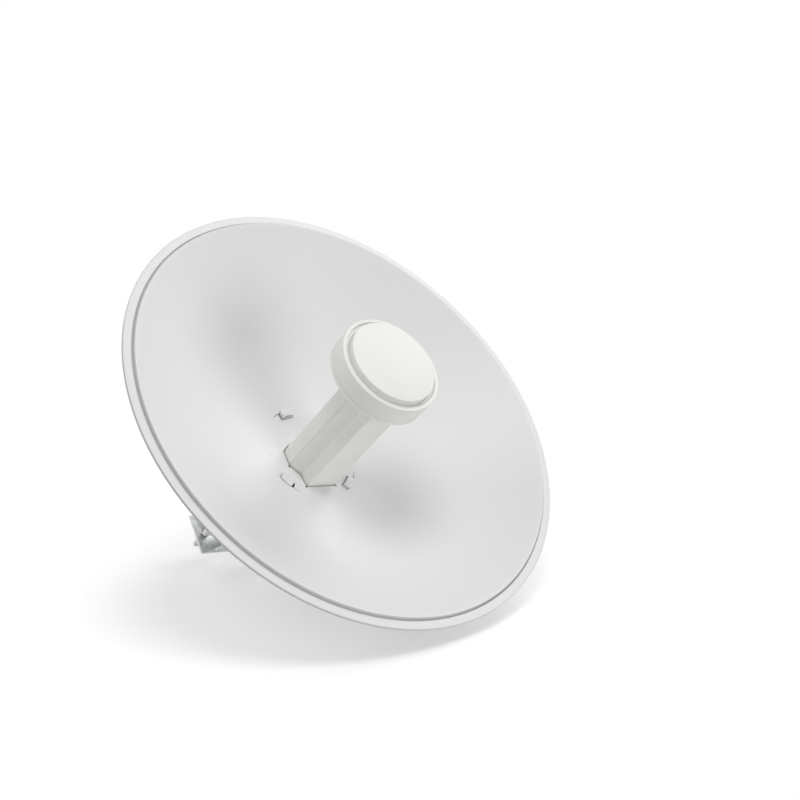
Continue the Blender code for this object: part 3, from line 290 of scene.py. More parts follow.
# %% Galvanised sheet, and drawn metals
def galvanised():
    zinc = Finish("galvanised_zinc", (0.60, 0.61, 0.62), 0.38, Metallic=1.0)
    at = zinc.place()
    tone = zinc.node("ShaderNodeSeparateColor", {}, {"Color": zinc.cells(at, 300.0)}, "Red")
    cloud = zinc.noise(at, 60.0, 4.0)
    zinc.feed("Base Color", zinc.blend((0.53, 0.54, 0.55), (0.66, 0.67, 0.675), tone))
    zinc.feed("Roughness", 0.30 + 0.10 * tone + 0.14 * cloud)
    zinc.bump(tone + 0.6 * cloud, 0.10, 0.0003)
    return zinc.material


def drawn(name, dark, light, roughness, stretch, depth=0.0001):
    metal = Finish(name, light, roughness, Metallic=1.0)
    at = metal.place(stretch)
    lines = metal.noise(at, 260.0, 4.0)
    cloud = metal.noise(metal.place(), 90.0, 2.0)
    metal.feed("Base Color", metal.blend(dark, light, metal.steps(cloud, 0.3, 0.7)))
    metal.feed("Roughness", roughness - 0.08 + 0.16 * lines)
    metal.bump(lines, 0.12, depth)
    return metal.material


finishes["zinc_steel"] = galvanised()
finishes["bolt_steel"] = drawn("bolt_steel", (0.52, 0.52, 0.53), (0.62, 0.62, 0.63), 0.30, (9.0, 9.0, 9.0))
finishes["aluminium"] = drawn("aluminium", (0.72, 0.73, 0.74), (0.80, 0.81, 0.82), 0.36, (14.0, 0.4, 14.0))
finishes["tin_plate"] = drawn("tin_plate", (0.64, 0.64, 0.62), (0.72, 0.72, 0.70), 0.30, (0.5, 6.0, 6.0))
finishes["copper"] = drawn("copper", (0.66, 0.38, 0.17), (0.78, 0.49, 0.25), 0.28, (6.0, 0.5, 6.0))
print("metals made:", 5)

# %% [markdown]
# ## Solder mask
#
# The board hides in the feed, yet it deserves its own finish. Under green lacquer run copper
# traces, a shade lighter and standing a few hundredths of a millimetre proud. A brick pattern with
# wide joints gives their right-angled run.


# %% The board's lacquer
def solder_mask():
    mask = Finish("solder_mask", (0.02, 0.13, 0.06), 0.34, Specular_IOR_Level=0.5)
    at = mask.place()
    bricks = {"Vector": at, "Scale": 160.0, "Mortar Size": 0.05, "Mortar Smooth": 0.2}
    traces = mask.node("ShaderNodeTexBrick", {"offset": 0.35}, bricks, "Fac")
    mask.feed("Base Color", mask.blend((0.012, 0.105, 0.045), (0.03, 0.21, 0.10), traces))
    mask.feed("Roughness", 0.30 + 0.12 * mask.noise(at, 900.0))
    mask.bump(traces, 0.3, 0.00005)
    return mask.material


finishes["circuit_board"] = solder_mask()
for name, part in nodes.items():
    part.data.materials.clear()
    part.data.materials.append(finishes[slot_of[name]])
print("frame pieces painted:", len(nodes))

# %% [markdown]
# ## Turning outlines into pieces
#
# Nearly all of this object is either turned about an axis or extruded along one. Real edges are
# never sharp, so one helper rounds the corners of an outline with short arcs, one spins it, one
# extrudes it. Cutting and joining uses an exact Boolean, read back at once, so that what is left is
# plain geometry.


# %% Outline helpers
def rounded(outline, radius, steps=4):
    """A closed outline with round corners; radius is one number, or one for each corner."""
    points = [Vector(point) for point in outline]
    result = []
    for i, corner in enumerate(points):
        wanted = radius[i] if isinstance(radius, (list, tuple)) else radius
        if not wanted:
            result.append(tuple(corner))
            continue
        to_last = points[i - 1] - corner
        to_next = points[(i + 1) % len(points)] - corner
        half = to_last.angle(to_next) / 2
        reach = min(wanted / math.tan(half), 0.48 * min(to_last.length, to_next.length))
        actual = reach * math.tan(half)
        inward = (to_last.normalized() + to_next.normalized()).normalized()
        centre = corner + inward * (actual / math.sin(half))
        start = (corner + to_last.normalized() * reach - centre).normalized()
        end = (corner + to_next.normalized() * reach - centre).normalized()
        for step in range(steps + 1):
            result.append(tuple(centre + start.slerp(end, step / steps) * actual))
    return result


def box_outline(low_a, low_b, high_a, high_b):
    return [(low_a, low_b), (high_a, low_b), (high_a, high_b), (low_a, high_b)]


def arc_line(radius, start, end, steps):
    angles = [math.radians(start + (end - start) * i / steps) for i in range(steps + 1)]
    return [(radius * math.cos(angle), radius * math.sin(angle)) for angle in angles]


def spun(profile, steps, axis="Y", centre=(0.0, 0.0)):
    """A closed line of (radius, place) turned about an axis parallel to Y or X."""
    mesh = bmesh.new()
    points = [mesh.verts.new((radius, place, 0.0)) for radius, place in profile]
    edges = []
    for first, second in zip(points, points[1:] + points[:1]):
        if first.co.x > 0 or second.co.x > 0:
            edges.append(mesh.edges.new((first, second)))
    bmesh.ops.spin(mesh, geom=points + edges, cent=(0, 0, 0), axis=(0, 1, 0), angle=math.tau,
                   steps=steps, use_merge=True)
    if axis == "X":
        turn = Matrix.Rotation(-math.pi / 2, 3, "Z")
        bmesh.ops.rotate(mesh, verts=mesh.verts, cent=(0, 0, 0), matrix=turn)
        bmesh.ops.translate(mesh, verts=mesh.verts, vec=(0.0, *centre))
    else:
        bmesh.ops.translate(mesh, verts=mesh.verts, vec=(centre[0], 0.0, centre[1]))
    return tidied(mesh)


def turned(profile, steps):
    """A closed line of (radius, height) turned about the dish's axis."""
    return spun([(radius, along(height)) for radius, height in profile], steps)


def extruded(outline, axis, start, end):
    """An outline pushed along an axis: Y,Z along X; X,Z along Y; X,Y along Z."""
    def point(first, second, run):
        return {"X": (run, first, second), "Y": (first, run, second), "Z": (first, second, run)}[axis]

    mesh = bmesh.new()
    face = mesh.faces.new([mesh.verts.new(point(a, b, start)) for a, b in outline])
    grown = bmesh.ops.extrude_face_region(mesh, geom=[face])["geom"]
    moved = [item for item in grown if isinstance(item, bmesh.types.BMVert)]
    bmesh.ops.translate(mesh, verts=moved, vec=point(0.0, 0.0, end - start))
    return tidied(mesh)


def tidied(mesh):
    bmesh.ops.remove_doubles(mesh, verts=mesh.verts, dist=1e-6)
    bmesh.ops.recalc_face_normals(mesh, faces=mesh.faces)
    return mesh


def laid_out(mesh, name):
    """A bmesh written to a new object."""
    data = bpy.data.meshes.new(name)
    mesh.to_mesh(data)
    mesh.free()
    made = bpy.data.objects.new(name, data)
    bpy.context.scene.collection.objects.link(made)
    return made


def combined(mesh, tool, operation="DIFFERENCE"):
    """One mesh cut or joined with another; both are used up."""
    base = laid_out(mesh, "base")
    other = laid_out(tool, "tool")
    modifier = base.modifiers.new("shape", "BOOLEAN")
    modifier.operation = operation
    modifier.object = other
    result = bmesh.new()
    result.from_object(base, bpy.context.evaluated_depsgraph_get())
    bpy.data.objects.remove(base)
    bpy.data.objects.remove(other)
    return result


def soften(mesh, width, crease=35.0, segments=2):
    """Rounds every edge that turns more sharply than the crease angle."""
    limit = math.radians(crease)
    sharp = [edge for edge in mesh.edges if len(edge.link_faces) == 2 and edge.calc_face_angle() > limit]
    bmesh.ops.bevel(mesh, geom=sharp, offset=width, segments=segments, profile=0.5,
                    affect="EDGES", material=-1, clamp_overlap=True)
    return mesh


made_pieces = []


def present(name, mesh, *stands_for, smooth=32.0):
    """Shows a finished mesh in place of frame pieces, on their body and in their finish."""
    first = stands_for[0]
    made = laid_out(mesh, name)
    made.data.shade_smooth()
    made.data.set_sharp_from_angle(angle=math.radians(smooth))
    made.data.materials.append(finishes[slot_of[first]])
    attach(made, nodes[first]["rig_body"])
    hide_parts(*stands_for)
    made_pieces.append(made)
    return made


print("helpers ready")

# %% [markdown]
# ## The dish
#
# A disc of sheet is pressed into a paraboloid. At its edge the tool presses a step down to a flat
# flange, and turns the flange's edge back as a short lip: the step stiffens the bowl, and hands meet
# no cut edge. A narrow gutter at the step's foot leaves room for the tool's nose. The section is one closed line: the front surface out to the lip, and back along the
# rear a sheet's thickness behind. Spinning it in small steps keeps the long highlights smooth.

# %% The pressed section, spun
RIM_WIDTH = 0.0095
STEP_DROP = 0.0030
STEP_RUN = 0.0008
LIP_DROP = 0.0022
GUTTER = 0.0012
SHEET = 0.0010
BOWL_EDGE = RIM - RIM_WIDTH
FOUR_FOCAL = BOWL_EDGE**2 / BOWL_DEPTH
RINGS = 46
DISH_STEPS = 224


def bowl(radius):
    return radius**2 / FOUR_FOCAL


def bowl_back(radius):
    return bowl(radius) - SHEET * math.sqrt(1 + (2 * radius / FOUR_FOCAL) ** 2)


def dish_section():
    flange = BOWL_DEPTH - STEP_DROP
    foot = BOWL_EDGE + STEP_RUN
    rear_edge = BOWL_EDGE - SHEET
    front = [(BOWL_EDGE * i / RINGS, bowl(BOWL_EDGE * i / RINGS)) for i in range(RINGS)]
    rim = {
        (BOWL_EDGE, BOWL_DEPTH): 0.0005,
        (foot - GUTTER / 3, flange - GUTTER): 0.0003,
        (foot + GUTTER / 2, flange - GUTTER): 0.0003,
        (foot + GUTTER, flange): 0.0004,
        (RIM, flange): 0.0007,
        (RIM, flange - LIP_DROP): 0.0004,
        (RIM - SHEET, flange - LIP_DROP): 0.0004,
        (RIM - SHEET, flange - SHEET): 0.0004,
        (foot + GUTTER, flange - SHEET): 0.0003,
        (foot + GUTTER / 2, flange - SHEET - GUTTER): 0.0003,
        (foot - SHEET, flange - SHEET - GUTTER): 0.0003,
        (rear_edge, bowl_back(rear_edge)): 0.0003,
    }
    behind = [(rear_edge * i / RINGS, bowl_back(rear_edge * i / RINGS)) for i in range(RINGS)]
    line = front + list(rim) + behind[::-1]
    return rounded(line, [0] * RINGS + list(rim.values()) + [0] * RINGS, 3)


dish_mesh = turned(dish_section(), DISH_STEPS)
print("dish faces:", len(dish_mesh.faces))

# %% [markdown]
# The dish's centre is punched: one hole in the shape of the feed tube, with a notch for its latch,
# and three slots for the hooks of the plate behind. Each slot runs out in a thin slit, and small
# round reliefs sit where the tube's hole turns a corner, so that the sheet doesn't tear there. The
# tube's outline is needed twice more for its shells, so it is a function.


# %% The punched centre
TUBE_HALF = 0.0240
TUBE_CORNERS = [(0.0150, -0.0320), (0.0155, -0.0190), (0.0240, -0.0100), (0.0240, 0.0050),
                (0.0170, 0.0110)]  # the tube's right-hand corners in X and Z, from its keel up
TUBE_CLEARANCE = 0.0009
PUNCH = (0.020, -0.010)
LATCH_EDGE = 0.0320
LATCH_REACH = (-0.0109, 0.0049)
HOOK_ANGLES = (108.0, 222.0, 318.0)
SLOT_SPAN = 20.0
SLOT_SHIFT = -4.0
SLIT_SPAN = 28.0
SLIT = 0.0005
MARK_X, MARK_HALF = 0.0430, 0.0014
RELIEFS = [(0.0250, -0.0108), (0.0160, -0.0330)]  # where the hole's corners meet, in X and Z
RELIEF_RADIUS = 0.0010
HOOK_RADII = (0.0398, 0.0464)


def tube_outline(grow=0.0):
    """The tube's section, counter-clockwise from the keel's right corner."""
    corners = [Vector(point) for point in TUBE_CORNERS]
    corners += [Vector((-x, z)) for x, z in reversed(TUBE_CORNERS)]
    grown = []
    for i, corner in enumerate(corners):
        first = (corner - corners[i - 1]).normalized()
        second = (corners[(i + 1) % len(corners)] - corner).normalized()
        normals = Vector((first.y, -first.x)), Vector((second.y, -second.x))
        shift = (normals[0] + normals[1]) / (1 + normals[0].dot(normals[1]))
        grown.append(tuple(corner + shift * grow))
    return grown


def slot_outline(angle, span_angle, inner, outer, steps=10):
    low = angle - span_angle / 2
    high = angle + span_angle / 2
    return arc_line(outer, low, high, steps) + arc_line(inner, high, low, steps)


ends = along(PUNCH[0]), along(PUNCH[1])
dish_mesh = combined(dish_mesh, extruded(rounded(tube_outline(TUBE_CLEARANCE), 0.0010), "Y", *ends))
notch = box_outline(TUBE_HALF - 0.001, LATCH_REACH[0], LATCH_EDGE, LATCH_REACH[1])
dish_mesh = combined(dish_mesh, extruded(notch, "Y", *ends))
cuts = [slot_outline(angle + SLOT_SHIFT, SLOT_SPAN, *HOOK_RADII) for angle in HOOK_ANGLES]
cuts += [slot_outline(angle, SLIT_SPAN, HOOK_RADII[1] - SLIT, HOOK_RADII[1]) for angle in HOOK_ANGLES]
for side in (-1, 1):
    cuts.append(box_outline(side * MARK_X - SLIT / 2, -MARK_HALF, side * MARK_X + SLIT / 2, MARK_HALF))
    for x, z in RELIEFS:
        cuts.append([(side * x + a, z + b) for a, b in arc_line(RELIEF_RADIUS, 0, 337.5, 15)])
for cut in cuts:
    dish_mesh = combined(dish_mesh, extruded(cut, "Y", *ends))
reflector = present("reflector_pressing", dish_mesh, "dish_reflector", smooth=28.0)
print("reflector faces:", len(reflector.data.polygons))

# %% [markdown]
# ## The head
#
# The head is a drum on the end of the feed: a base, a ring-shaped wall, and a front disc that
# stands a few millimetres proud of the ring. All three are mouldings with small even radii. Spun
# from rounded sections, each meets the next with the thin shadow line that real parts show.


# %% Base, drum and front disc
HEAD_STEPS = 160
base_rear, base_front = span("head_base")[1:]
drum_radius, drum_rear, drum_front = span("head_drum")
disc_flange, disc_rear, disc_front = span("head_disc")
DISC_RADIUS = 0.0398
DISC_WALL = 0.0020
DRUM_WALL = 0.0024
FLANGE = 0.0026
LEDGE_DROP = 0.0016
BEAD = 0.0034
SEAM_DEPTH, SEAM_WIDTH = 0.0005, 0.0004

base_line = {
    (0.0, base_front): 0,
    (drum_radius - SEAM_DEPTH, base_front): 0.0002,
    (drum_radius - SEAM_DEPTH, base_front - SEAM_WIDTH): 0.0002,
    (drum_radius, base_front - SEAM_WIDTH): 0.0002,
    (drum_radius, base_rear): 0.0014,
    (0.0, base_rear): 0,
}
base_mesh = turned(rounded(list(base_line), list(base_line.values())), HEAD_STEPS)
window = extruded(box_outline(-0.0090, -0.0030, 0.0090, 0.0050), "Y", along(0.130), along(0.119))
present("head_bottom_cover", combined(base_mesh, window), "head_base")

ledge = DISC_RADIUS + 0.0003
drum_line = {
    (drum_radius - DRUM_WALL, drum_rear): 0.0002,
    (drum_radius, drum_rear): 0.0004,
    (drum_radius, drum_front): 0.0008,
    (drum_radius - BEAD, drum_front): 0.0005,
    (drum_radius - BEAD, drum_front - LEDGE_DROP): 0.0003,
    (ledge, drum_front - LEDGE_DROP): 0.0003,
    (ledge, drum_front - FLANGE): 0.0002,
    (drum_radius - DRUM_WALL, drum_front - FLANGE): 0.0002,
}
ring_mesh = turned(rounded(list(drum_line), list(drum_line.values())), HEAD_STEPS)
present("head_ring_wall", ring_mesh, "head_drum")

disc_line = [
    (0.0, disc_front),
    (DISC_RADIUS, disc_front),
    (DISC_RADIUS, drum_front - FLANGE - 0.0003),
    (disc_flange, drum_front - FLANGE - 0.0003),
    (disc_flange, disc_rear),
    (DISC_RADIUS - DISC_WALL, disc_rear),
    (DISC_RADIUS - DISC_WALL, disc_front - DISC_WALL),
    (0.0, disc_front - DISC_WALL),
]
present("head_front_cap", turned(rounded(disc_line, [0, 0.0009, 0.0002, 0.0003, 0.0003, 0.0003, 0.0006, 0]),
                                 HEAD_STEPS), "head_disc")
print("head pieces:", len(made_pieces) - 1)

# %% [markdown]
# ## The feed tube
#
# Two mouldings clip together round the board: a shallow upper shell and a deep lower one with a
# keel. The joint between them runs along both sides as a hairline, close to the lower corner. Each
# shell is its section, rounded at the outer corners and extruded, and the upper one has a long vent
# slot above the latch.


# %% Upper and lower shells
TUBE_WALL = 0.0020
SEAM_Z = -0.0086
SEAM_GAP = 0.0003
CORNER_ROUND = 0.0011
shell_low, shell_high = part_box("feed_tube_upper_shell")
keel_low, keel_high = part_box("feed_tube_lower_shell")


def half_section(above):
    """The outer and inner line of one shell, from seam to seam."""
    outer = tube_outline()
    inner = tube_outline(-TUBE_WALL)
    seam = SEAM_Z + (SEAM_GAP if above else -SEAM_GAP) / 2
    shift = TUBE_HALF - TUBE_WALL
    if above:
        outer = [(TUBE_HALF, seam)] + outer[3:7] + [(-TUBE_HALF, seam)]
        inner = [(shift, seam)] + inner[3:7] + [(-shift, seam)]
    else:
        outer = [(-TUBE_HALF, seam)] + outer[7:] + outer[:3] + [(TUBE_HALF, seam)]
        inner = [(-shift, seam)] + inner[7:] + inner[:3] + [(shift, seam)]
    line = outer + inner[::-1]
    corners = len(outer) - 2
    radii = [0.0002] + [CORNER_ROUND] * corners + [0.0002, 0] + [0.0004] * corners + [0]
    return rounded(line, radii, 4)


upper = extruded(half_section(True), "Y", shell_low.y, shell_high.y)
vent = rounded(box_outline(along(0.0920), -0.0062, along(0.0560), -0.0042), 0.0009)
upper = combined(upper, extruded(vent, "X", TUBE_HALF - 0.004, TUBE_HALF + 0.002))
present("feed_upper_moulding", upper, "feed_tube_upper_shell", smooth=22.0)
lower = extruded(half_section(False), "Y", keel_low.y, keel_high.y)
present("feed_lower_moulding", lower, "feed_tube_lower_shell", smooth=22.0)
print("tube from", round(DISH_Y - shell_high.y, 4), "to", round(DISH_Y - shell_low.y, 4))

# %% [markdown]
# ## Softened copies
#
# Brackets, latch, door and carrier are already the right shape in the frame: only their edges are
# too crisp. A copy of each is merged into whole faces, and a bevel rounds every corner by a few
# tenths of a millimetre, as a press or a mould leaves it. The wide flat faces stay flat.


# %% Copies of frame pieces with rounded edges
def softened(name, node, width, crease=35.0):
    mesh = bmesh.new()
    mesh.from_mesh(nodes[node].data)
    bmesh.ops.remove_doubles(mesh, verts=mesh.verts, dist=2e-6)
    bmesh.ops.dissolve_limit(mesh, angle_limit=math.radians(0.6), verts=mesh.verts, edges=mesh.edges)
    return present(name, soften(mesh, width, crease), node)


softened("snap_latch", "feed_latch", 0.0005)
softened("hook_plate", "carrier_plate", 0.0002)
softened("sliding_cable_door", "cable_door", 0.0004)
softened("door_grommet", "cable_grommet", 0.0003)
softened("light_window", "status_window", 0.0002)
softened("tilting_bracket", "dish_bracket", 0.0003)
softened("saddle_bracket", "pole_bracket", 0.0003)
softened("pole_jaw", "clamp_jaw", 0.0003)
softened("network_jack", "ethernet_jack", 0.0003)
softened("radio_can", "shield_can", 0.0003)
print("softened:", [piece.name for piece in made_pieces[-10:]])

# %% [markdown]
# ## The rear housing
#
# A round cap closes the back of the dish. Its wall has draft-free sides with a generous fillet, a
# fine groove where the weather seal's lip sits, holes for the screws, a slot for the light
# window, and two rails on its underside for the sliding door. Spun first, then cut, so the round
# stays perfectly round.


# %% Spun cap, cut and fitted with rails
HOUSING_STEPS = 176
WALL = 0.0025
FILLET = 0.0080
GROOVE = (0.0004, 0.0010)  # depth, width
housing_low, housing_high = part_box("rear_housing")
housing_radius = (housing_high.x - housing_low.x) / 2
door_low, door_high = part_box("cable_door")
DOOR_TOP = 0.0628
RAIL_START = 21.0
RAIL_END = 22.6
LIP_END = 18.3
front = DISH_Y - housing_low.y
back = DISH_Y - housing_high.y
inner = housing_radius - WALL


def housing_section():
    groove = front - 0.0025
    line = [
        (housing_radius, front),
        (housing_radius, groove),
        (housing_radius - GROOVE[0], groove),
        (housing_radius - GROOVE[0], groove - GROOVE[1]),
        (housing_radius, groove - GROOVE[1]),
        (housing_radius, back),
        (0.0, back),
        (0.0, back + WALL),
        (inner, back + WALL),
        (inner, front),
    ]
    radii = [0.0004, 0.0002, 0.0001, 0.0001, 0.0002, FILLET, 0, 0, FILLET - WALL, 0.0004]
    return rounded(line, radii, 9)


def rail(side):
    foot = housing_radius - WALL / 2
    top = DOOR_TOP + 0.0010
    turns = [(foot, RAIL_START), (foot, RAIL_END), (top, RAIL_END), (top, LIP_END),
             (DOOR_TOP, LIP_END), (DOOR_TOP, RAIL_START)]
    outline = []
    for radius, degrees in turns:
        angle = math.radians(-90 + side * degrees)
        outline.append((radius * math.cos(angle), radius * math.sin(angle)))
    return extruded(rounded(outline, 0.0002, 2), "Y", door_low.y, door_high.y - WALL)


housing = turned(housing_section(), HOUSING_STEPS)
for side in (-1, 1):
    housing = combined(housing, rail(side), "UNION")
opening = box_outline(-0.0150, -housing_radius - 0.002, 0.0150, -housing_radius + 0.0150)
housing = combined(housing, extruded(rounded(opening, 0.0012), "Y", along(-0.0060), along(-0.0250)))
through = (along(back + 2 * WALL), along(back - WALL))
window_low, window_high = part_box("status_window")
slit = box_outline(window_low.x - 0.0003, window_low.z - 0.0003, window_high.x + 0.0003, window_high.z + 0.0003)
housing = combined(housing, extruded(rounded(slit, 0.0006), "Y", *through))
print("housing radius", round(housing_radius, 4), "height", round(front - back, 4))

# %% [markdown]
# ## Screws
#
# Pan-head screws hold the housing and the bracket. The domed head is a short spun section, and its
# cross recess is cut by two crossed bars. Each screw's place, head and length come from the solid
# it stands for, and each one is turned to its own angle, because nobody stops a screw upright.


# %% Screw holes in the housing, and the screws
def screw_centre(node):
    low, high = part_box(node)
    return ((low.x + high.x) / 2, (low.z + high.z) / 2)


def pan_screw(name, node, shank, number):
    low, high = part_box(node)
    centre = screw_centre(node)
    head = (high.x - low.x) / 2
    tall = 0.0022
    seat = high.y - tall
    line = [(0.0, high.y), (head * 0.55, high.y), (head, high.y - tall * 0.55), (head, seat),
            (shank, seat), (shank, low.y + 0.001), (shank * 0.6, low.y), (0.0, low.y)]
    mesh = spun(rounded(line, [0, 0.0012, 0.0006, 0.0002, 0.0002, 0, 0, 0]), 40, "Y", centre)
    arm = head * 0.52
    blade = head * 0.11
    for quarter in (0, 1):
        turn = Matrix.Rotation(math.radians(23.0 * number + 90.0 * quarter), 3, "Y")
        cross = extruded(box_outline(-arm, -blade, arm, blade), "Y", high.y - tall * 0.55, high.y + 0.001)
        bmesh.ops.rotate(cross, verts=cross.verts, cent=(0, 0, 0), matrix=turn)
        bmesh.ops.translate(cross, verts=cross.verts, vec=(centre[0], 0.0, centre[1]))
        mesh = combined(mesh, cross)
    return present(name, mesh, node)


for number in range(1, 5):
    for kind, shank in (("housing", 0.0015), ("bracket", 0.0019)):
        node = f"{kind}_screw_{number}"
        hole = spun([(0.0, through[0]), (shank + 0.0004, through[0]), (shank + 0.0004, through[1]),
                     (0.0, through[1])], 32, "Y", screw_centre(node))
        housing = combined(housing, hole)
        pan_screw(f"{kind}_pan_screw_{number}", node, shank, number)
present("rear_cap", housing, "rear_housing", smooth=26.0)
pan_screw("earthing_screw", "ground_screw", 0.0019, 5)
print("screws made:", 9)

# %% [markdown]
# ## Bolts, nuts and washers
#
# The tilt and the clamp are held by M6 hardware. A nut is a six-sided bar whose corners are turned
# off, which leaves the curved chamfer at each face. It is cut from a disc-shaped cone: the hexagon
# is intersected with a spun, chamfered disc. Threads are close rings, which at this size read as a
# helix and cost far fewer faces.


# %% Hexagons, threads and washers
BOLT = 0.0030
CORNER = 0.0058
PITCH = 0.0010
THREAD_DEPTH = 0.00045
CHAMFER = 0.0008


def hexagon(axis, start, end, centre, chamfered):
    """A hexagonal bar; chamfered says which of its ends are turned down."""
    outline = [(centre[0] + x, centre[1] + z) for x, z in arc_line(CORNER, 0, 300, 5)]
    bar = extruded(outline, axis, start, end)
    cuts = [CHAMFER if flag else 0.00005 for flag in chamfered]
    line = [(0.0, start), (CORNER - cuts[0], start), (CORNER, start + cuts[0] * 0.6),
            (CORNER, end - cuts[1] * 0.6), (CORNER - cuts[1], end), (0.0, end)]
    return combined(bar, spun(line, 72, axis, centre), "INTERSECT")


def threaded(axis, start, end, centre, plain=0.0):
    """A shank from start to end whose length past the plain part is threaded."""
    way = 1 if end > start else -1
    line = [(0.0, start), (BOLT, start), (BOLT, start + way * plain)]
    turns = int((abs(end - start) - plain - CHAMFER) / PITCH)
    for turn in range(turns):
        place = start + way * (plain + turn * PITCH)
        line.append((BOLT - THREAD_DEPTH, place + way * PITCH / 2))
        line.append((BOLT, place + way * PITCH))
    line += [(BOLT - THREAD_DEPTH, end), (0.0, end)]
    return spun(line, 36, axis, centre)


def washer_mesh(node, axis):
    low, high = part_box(node)
    a, b = (low.x, high.x) if axis == "X" else (low.y, high.y)
    centre = ((low.y + high.y) / 2, (low.z + high.z) / 2) if axis == "X" else screw_centre(node)
    outer = (high.z - low.z) / 2
    line = box_outline(BOLT + 0.0003, a, outer, b)
    return spun(rounded(line, 0.0002, 3), 64, axis, centre)


def nut_mesh(node, axis):
    low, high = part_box(node)
    a, b = (low.x, high.x) if axis == "X" else (low.y, high.y)
    centre = ((low.y + high.y) / 2, (low.z + high.z) / 2) if axis == "X" else screw_centre(node)
    bore = spun([(0.0, a - 0.001), (BOLT + 0.0001, a - 0.001), (BOLT + 0.0001, b + 0.001), (0.0, b + 0.001)],
                48, axis, centre)
    return combined(hexagon(axis, a, b, centre, (True, True)), bore)


for name in ("pivot", "lock"):
    low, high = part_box(f"{name}_bolt")
    centre = ((low.y + high.y) / 2, (low.z + high.z) / 2)
    head_start = high.x - 0.0040
    bolt = combined(threaded("X", head_start + 0.0010, low.x, centre, 0.0300),
                    hexagon("X", head_start, high.x, centre, (False, True)), "UNION")
    present(f"{name}_hex_bolt", bolt, f"{name}_bolt")
    present(f"{name}_hex_nut", nut_mesh(f"{name}_nut", "X"), f"{name}_nut")
    for side in ("left", "right"):
        present(f"{name}_flat_washer_{side}", washer_mesh(f"{name}_washer_{side}", "X"), f"{name}_washer_{side}")
for side in ("left", "right"):
    low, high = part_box(f"clamp_bolt_{side}")
    centre = screw_centre(f"clamp_bolt_{side}")
    seat = low.y + 0.0033
    dome = [(0.0, low.y), (0.0030, low.y + 0.0003), (0.0056, low.y + 0.0016), (0.0066, seat),
            (BOLT, seat), (BOLT, seat + 0.0002), (0.0, seat + 0.0002)]
    bolt = combined(threaded("Y", seat - 0.0010, high.y, centre, 0.0200),
                    spun(rounded(dome, [0, 0.003, 0.003, 0.0002, 0, 0, 0]), 64, "Y", centre), "UNION")
    present(f"clamp_carriage_bolt_{side}", bolt, f"clamp_bolt_{side}")
    present(f"clamp_hex_nut_{side}", nut_mesh(f"clamp_nut_{side}", "Y"), f"clamp_nut_{side}")
    present(f"clamp_flat_washer_{side}", washer_mesh(f"clamp_washer_{side}", "Y"), f"clamp_washer_{side}")
print("fasteners made:", 14)

# %% [markdown]
# ## Camera
#
# The antenna is drawn in its working position, looking level along -Y, but it is pictured lying
# tipped back. Turning the object would break its frame, so the camera is turned instead: it looks
# from the left, in front and below, and is rolled until the picture's upright is the tipped one.

# %% The camera, turned to the object
RIGHT = Vector((0.773, -0.527, -0.352)).normalized()
BACK = Vector((-0.634, -0.643, -0.429)).normalized()
UP = BACK.cross(RIGHT).normalized()
RIGHT = UP.cross(BACK)
rim_centre = Vector((0.0, along(BOWL_DEPTH), 0.0))
camera_data = bpy.data.cameras.new("camera")
camera_data.lens = 60.5
camera_data.sensor_width = 36.0
camera = bpy.data.objects.new("camera", camera_data)
bpy.context.scene.collection.objects.link(camera)
camera.matrix_world = Matrix((RIGHT, UP, BACK)).transposed().to_4x4()
camera.location = (-0.701, -0.955, -0.505)
bpy.context.scene.camera = camera
print("camera at", [round(value, 3) for value in camera.location])

# %% [markdown]
# ## Stage
#
# A pale table lies under the object as the picture sees it, so it is tilted in the frame. Its
# colour is near white, and a little camera-only glow carries it to paper white while it keeps the
# object's soft shadow. Seen from behind it is clear, so that it never hides the object in views
# from the other side, and it casts no shadow of its own.


# %% The tilted table
TABLE_TILT = math.radians(12.0)
TABLE_SIZE = 2.0
TABLE_FADE = (0.25, 0.52)
TABLE_SHIFT = 0.10
table_up = (UP * math.cos(TABLE_TILT) + BACK * math.sin(TABLE_TILT)).normalized()
corners = [part.matrix_world @ vertex.co for part in made_pieces for vertex in part.data.vertices]
lowest = min(point.dot(table_up) for point in corners)
table_mesh = bmesh.new()
turn = table_up.to_track_quat("Z", "Y").to_matrix().to_4x4()
turn.translation = table_up * (lowest - 0.001)
bmesh.ops.create_grid(table_mesh, x_segments=2, y_segments=2, size=TABLE_SIZE, matrix=turn)
table = laid_out(table_mesh, "table")
table.visible_shadow = False
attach(table, "dish_assembly")


def table_finish():
    pale = Finish("table_white", (0.90, 0.90, 0.90), 0.9, Specular_IOR_Level=0.1)
    path = "ShaderNodeLightPath"
    seen = pale.node(path, output="Is Camera Ray") + pale.node(path, output="Is Glossy Ray")
    seen = seen + pale.node(path, output="Is Transmission Ray")
    glow = pale.node("ShaderNodeEmission", {}, {"Color": (1, 1, 1, 1), "Strength": 0.27 * seen})
    body = pale.node("ShaderNodeAddShader", {}, {0: Signal(pale, pale.shader.outputs[0]), 1: glow})
    here = pale.node("ShaderNodeTexCoord", output="Object")
    away = {0: here, 1: tuple(rim_centre - TABLE_SHIFT * RIGHT)}
    distance = pale.node("ShaderNodeVectorMath", {"operation": "DISTANCE"}, away, "Value")
    faded = pale.steps(distance, *TABLE_FADE)
    behind = pale.node("ShaderNodeNewGeometry", output="Backfacing")
    clear = pale.node("ShaderNodeBsdfTransparent")
    hidden = pale.node("ShaderNodeMath", {"operation": "MAXIMUM"}, {0: faded, 1: behind})
    shown = pale.node("ShaderNodeMixShader", {}, {0: hidden, 1: body, 2: clear})
    output = pale.material.node_tree.nodes["Material Output"]
    pale.set(output.inputs["Surface"], shown)
    return pale.material


table.data.materials.append(table_finish())
print("table lies", round(-lowest, 4), "m below the pole's axis")

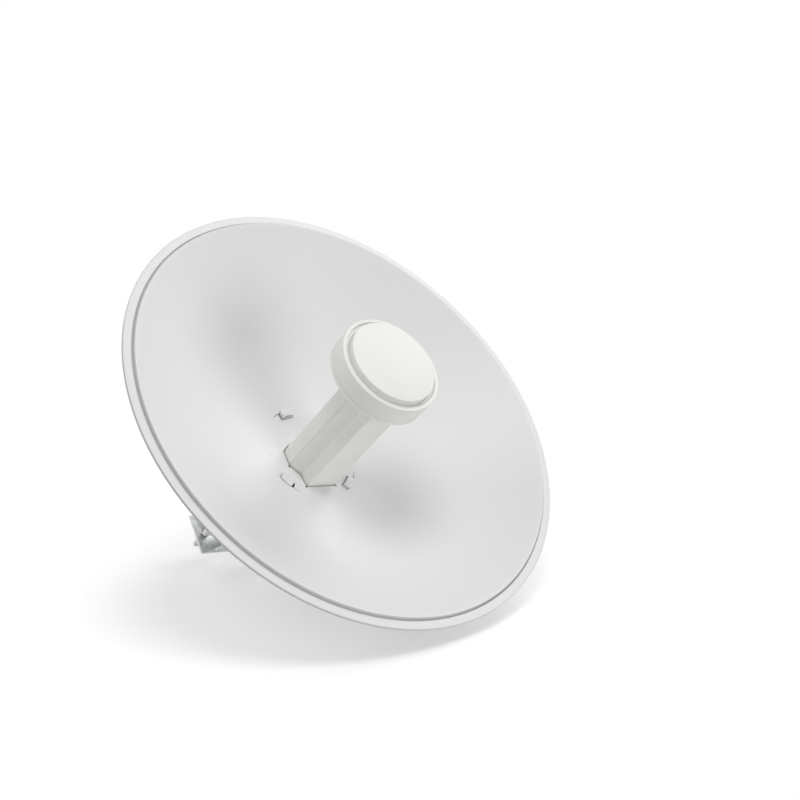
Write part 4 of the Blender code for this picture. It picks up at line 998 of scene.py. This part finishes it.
# %% [markdown]
# ## Light
#
# White on white needs soft light with a direction: a wide lamp high on the left in front draws the
# head's shadow onto the bowl, and the world fills the rest evenly. Together they light a surface
# at about the level at which its colour shows as written. The background is white to the camera
# and to reflections only, and lights the object no more than the plain fill.


# %% Lamps and world
def lamp(name, direction, distance, size, power):
    data = bpy.data.lights.new(name, "AREA")
    data.shape = "DISK"
    data.size = size
    data.energy = power
    made = bpy.data.objects.new(name, data)
    bpy.context.scene.collection.objects.link(made)
    made.location = rim_centre + direction.normalized() * distance
    made.rotation_mode = "QUATERNION"
    made.rotation_quaternion = direction.to_track_quat("Z", "Y")
    return made


lamp("key", 0.06 * RIGHT + 0.82 * UP + 0.60 * BACK, 1.7, 0.8, 10.0)
lamp("side", 0.82 * RIGHT - 0.18 * UP + 0.55 * BACK, 1.7, 0.9, 7.5)
lamp("left", -0.85 * RIGHT + 0.40 * UP + 0.35 * BACK, 1.7, 0.9, 3.0)
lamp("top", 0.60 * RIGHT + 0.80 * UP - 0.35 * BACK, 1.8, 1.0, 7.0)
lamp("rear", -0.50 * RIGHT + 0.40 * UP - 0.80 * BACK, 1.8, 1.2, 9.0)

world = bpy.data.worlds.new("studio")
world.use_nodes = True
bpy.context.scene.world = world
tree = world.node_tree
background = tree.nodes["Background"]
background.inputs["Color"].default_value = (1.0, 1.0, 1.0, 1.0)
path = tree.nodes.new("ShaderNodeLightPath")
FILL = 0.38
seen = tree.nodes.new("ShaderNodeMath")
seen.operation = "MAXIMUM"
tree.links.new(path.outputs["Is Camera Ray"], seen.inputs[0])
tree.links.new(path.outputs["Is Glossy Ray"], seen.inputs[1])
seen_too = tree.nodes.new("ShaderNodeMath")
seen_too.operation = "MAXIMUM"
tree.links.new(seen.outputs[0], seen_too.inputs[0])
tree.links.new(path.outputs["Is Transmission Ray"], seen_too.inputs[1])
strength = tree.nodes.new("ShaderNodeMath")
strength.operation = "MULTIPLY_ADD"
strength.inputs[1].default_value = 1.0 - FILL
strength.inputs[2].default_value = FILL
tree.links.new(seen_too.outputs[0], strength.inputs[0])
tree.links.new(strength.outputs[0], background.inputs["Strength"])
bpy.context.scene.view_settings.view_transform = "Standard"
print("lit with a fill of", FILL)
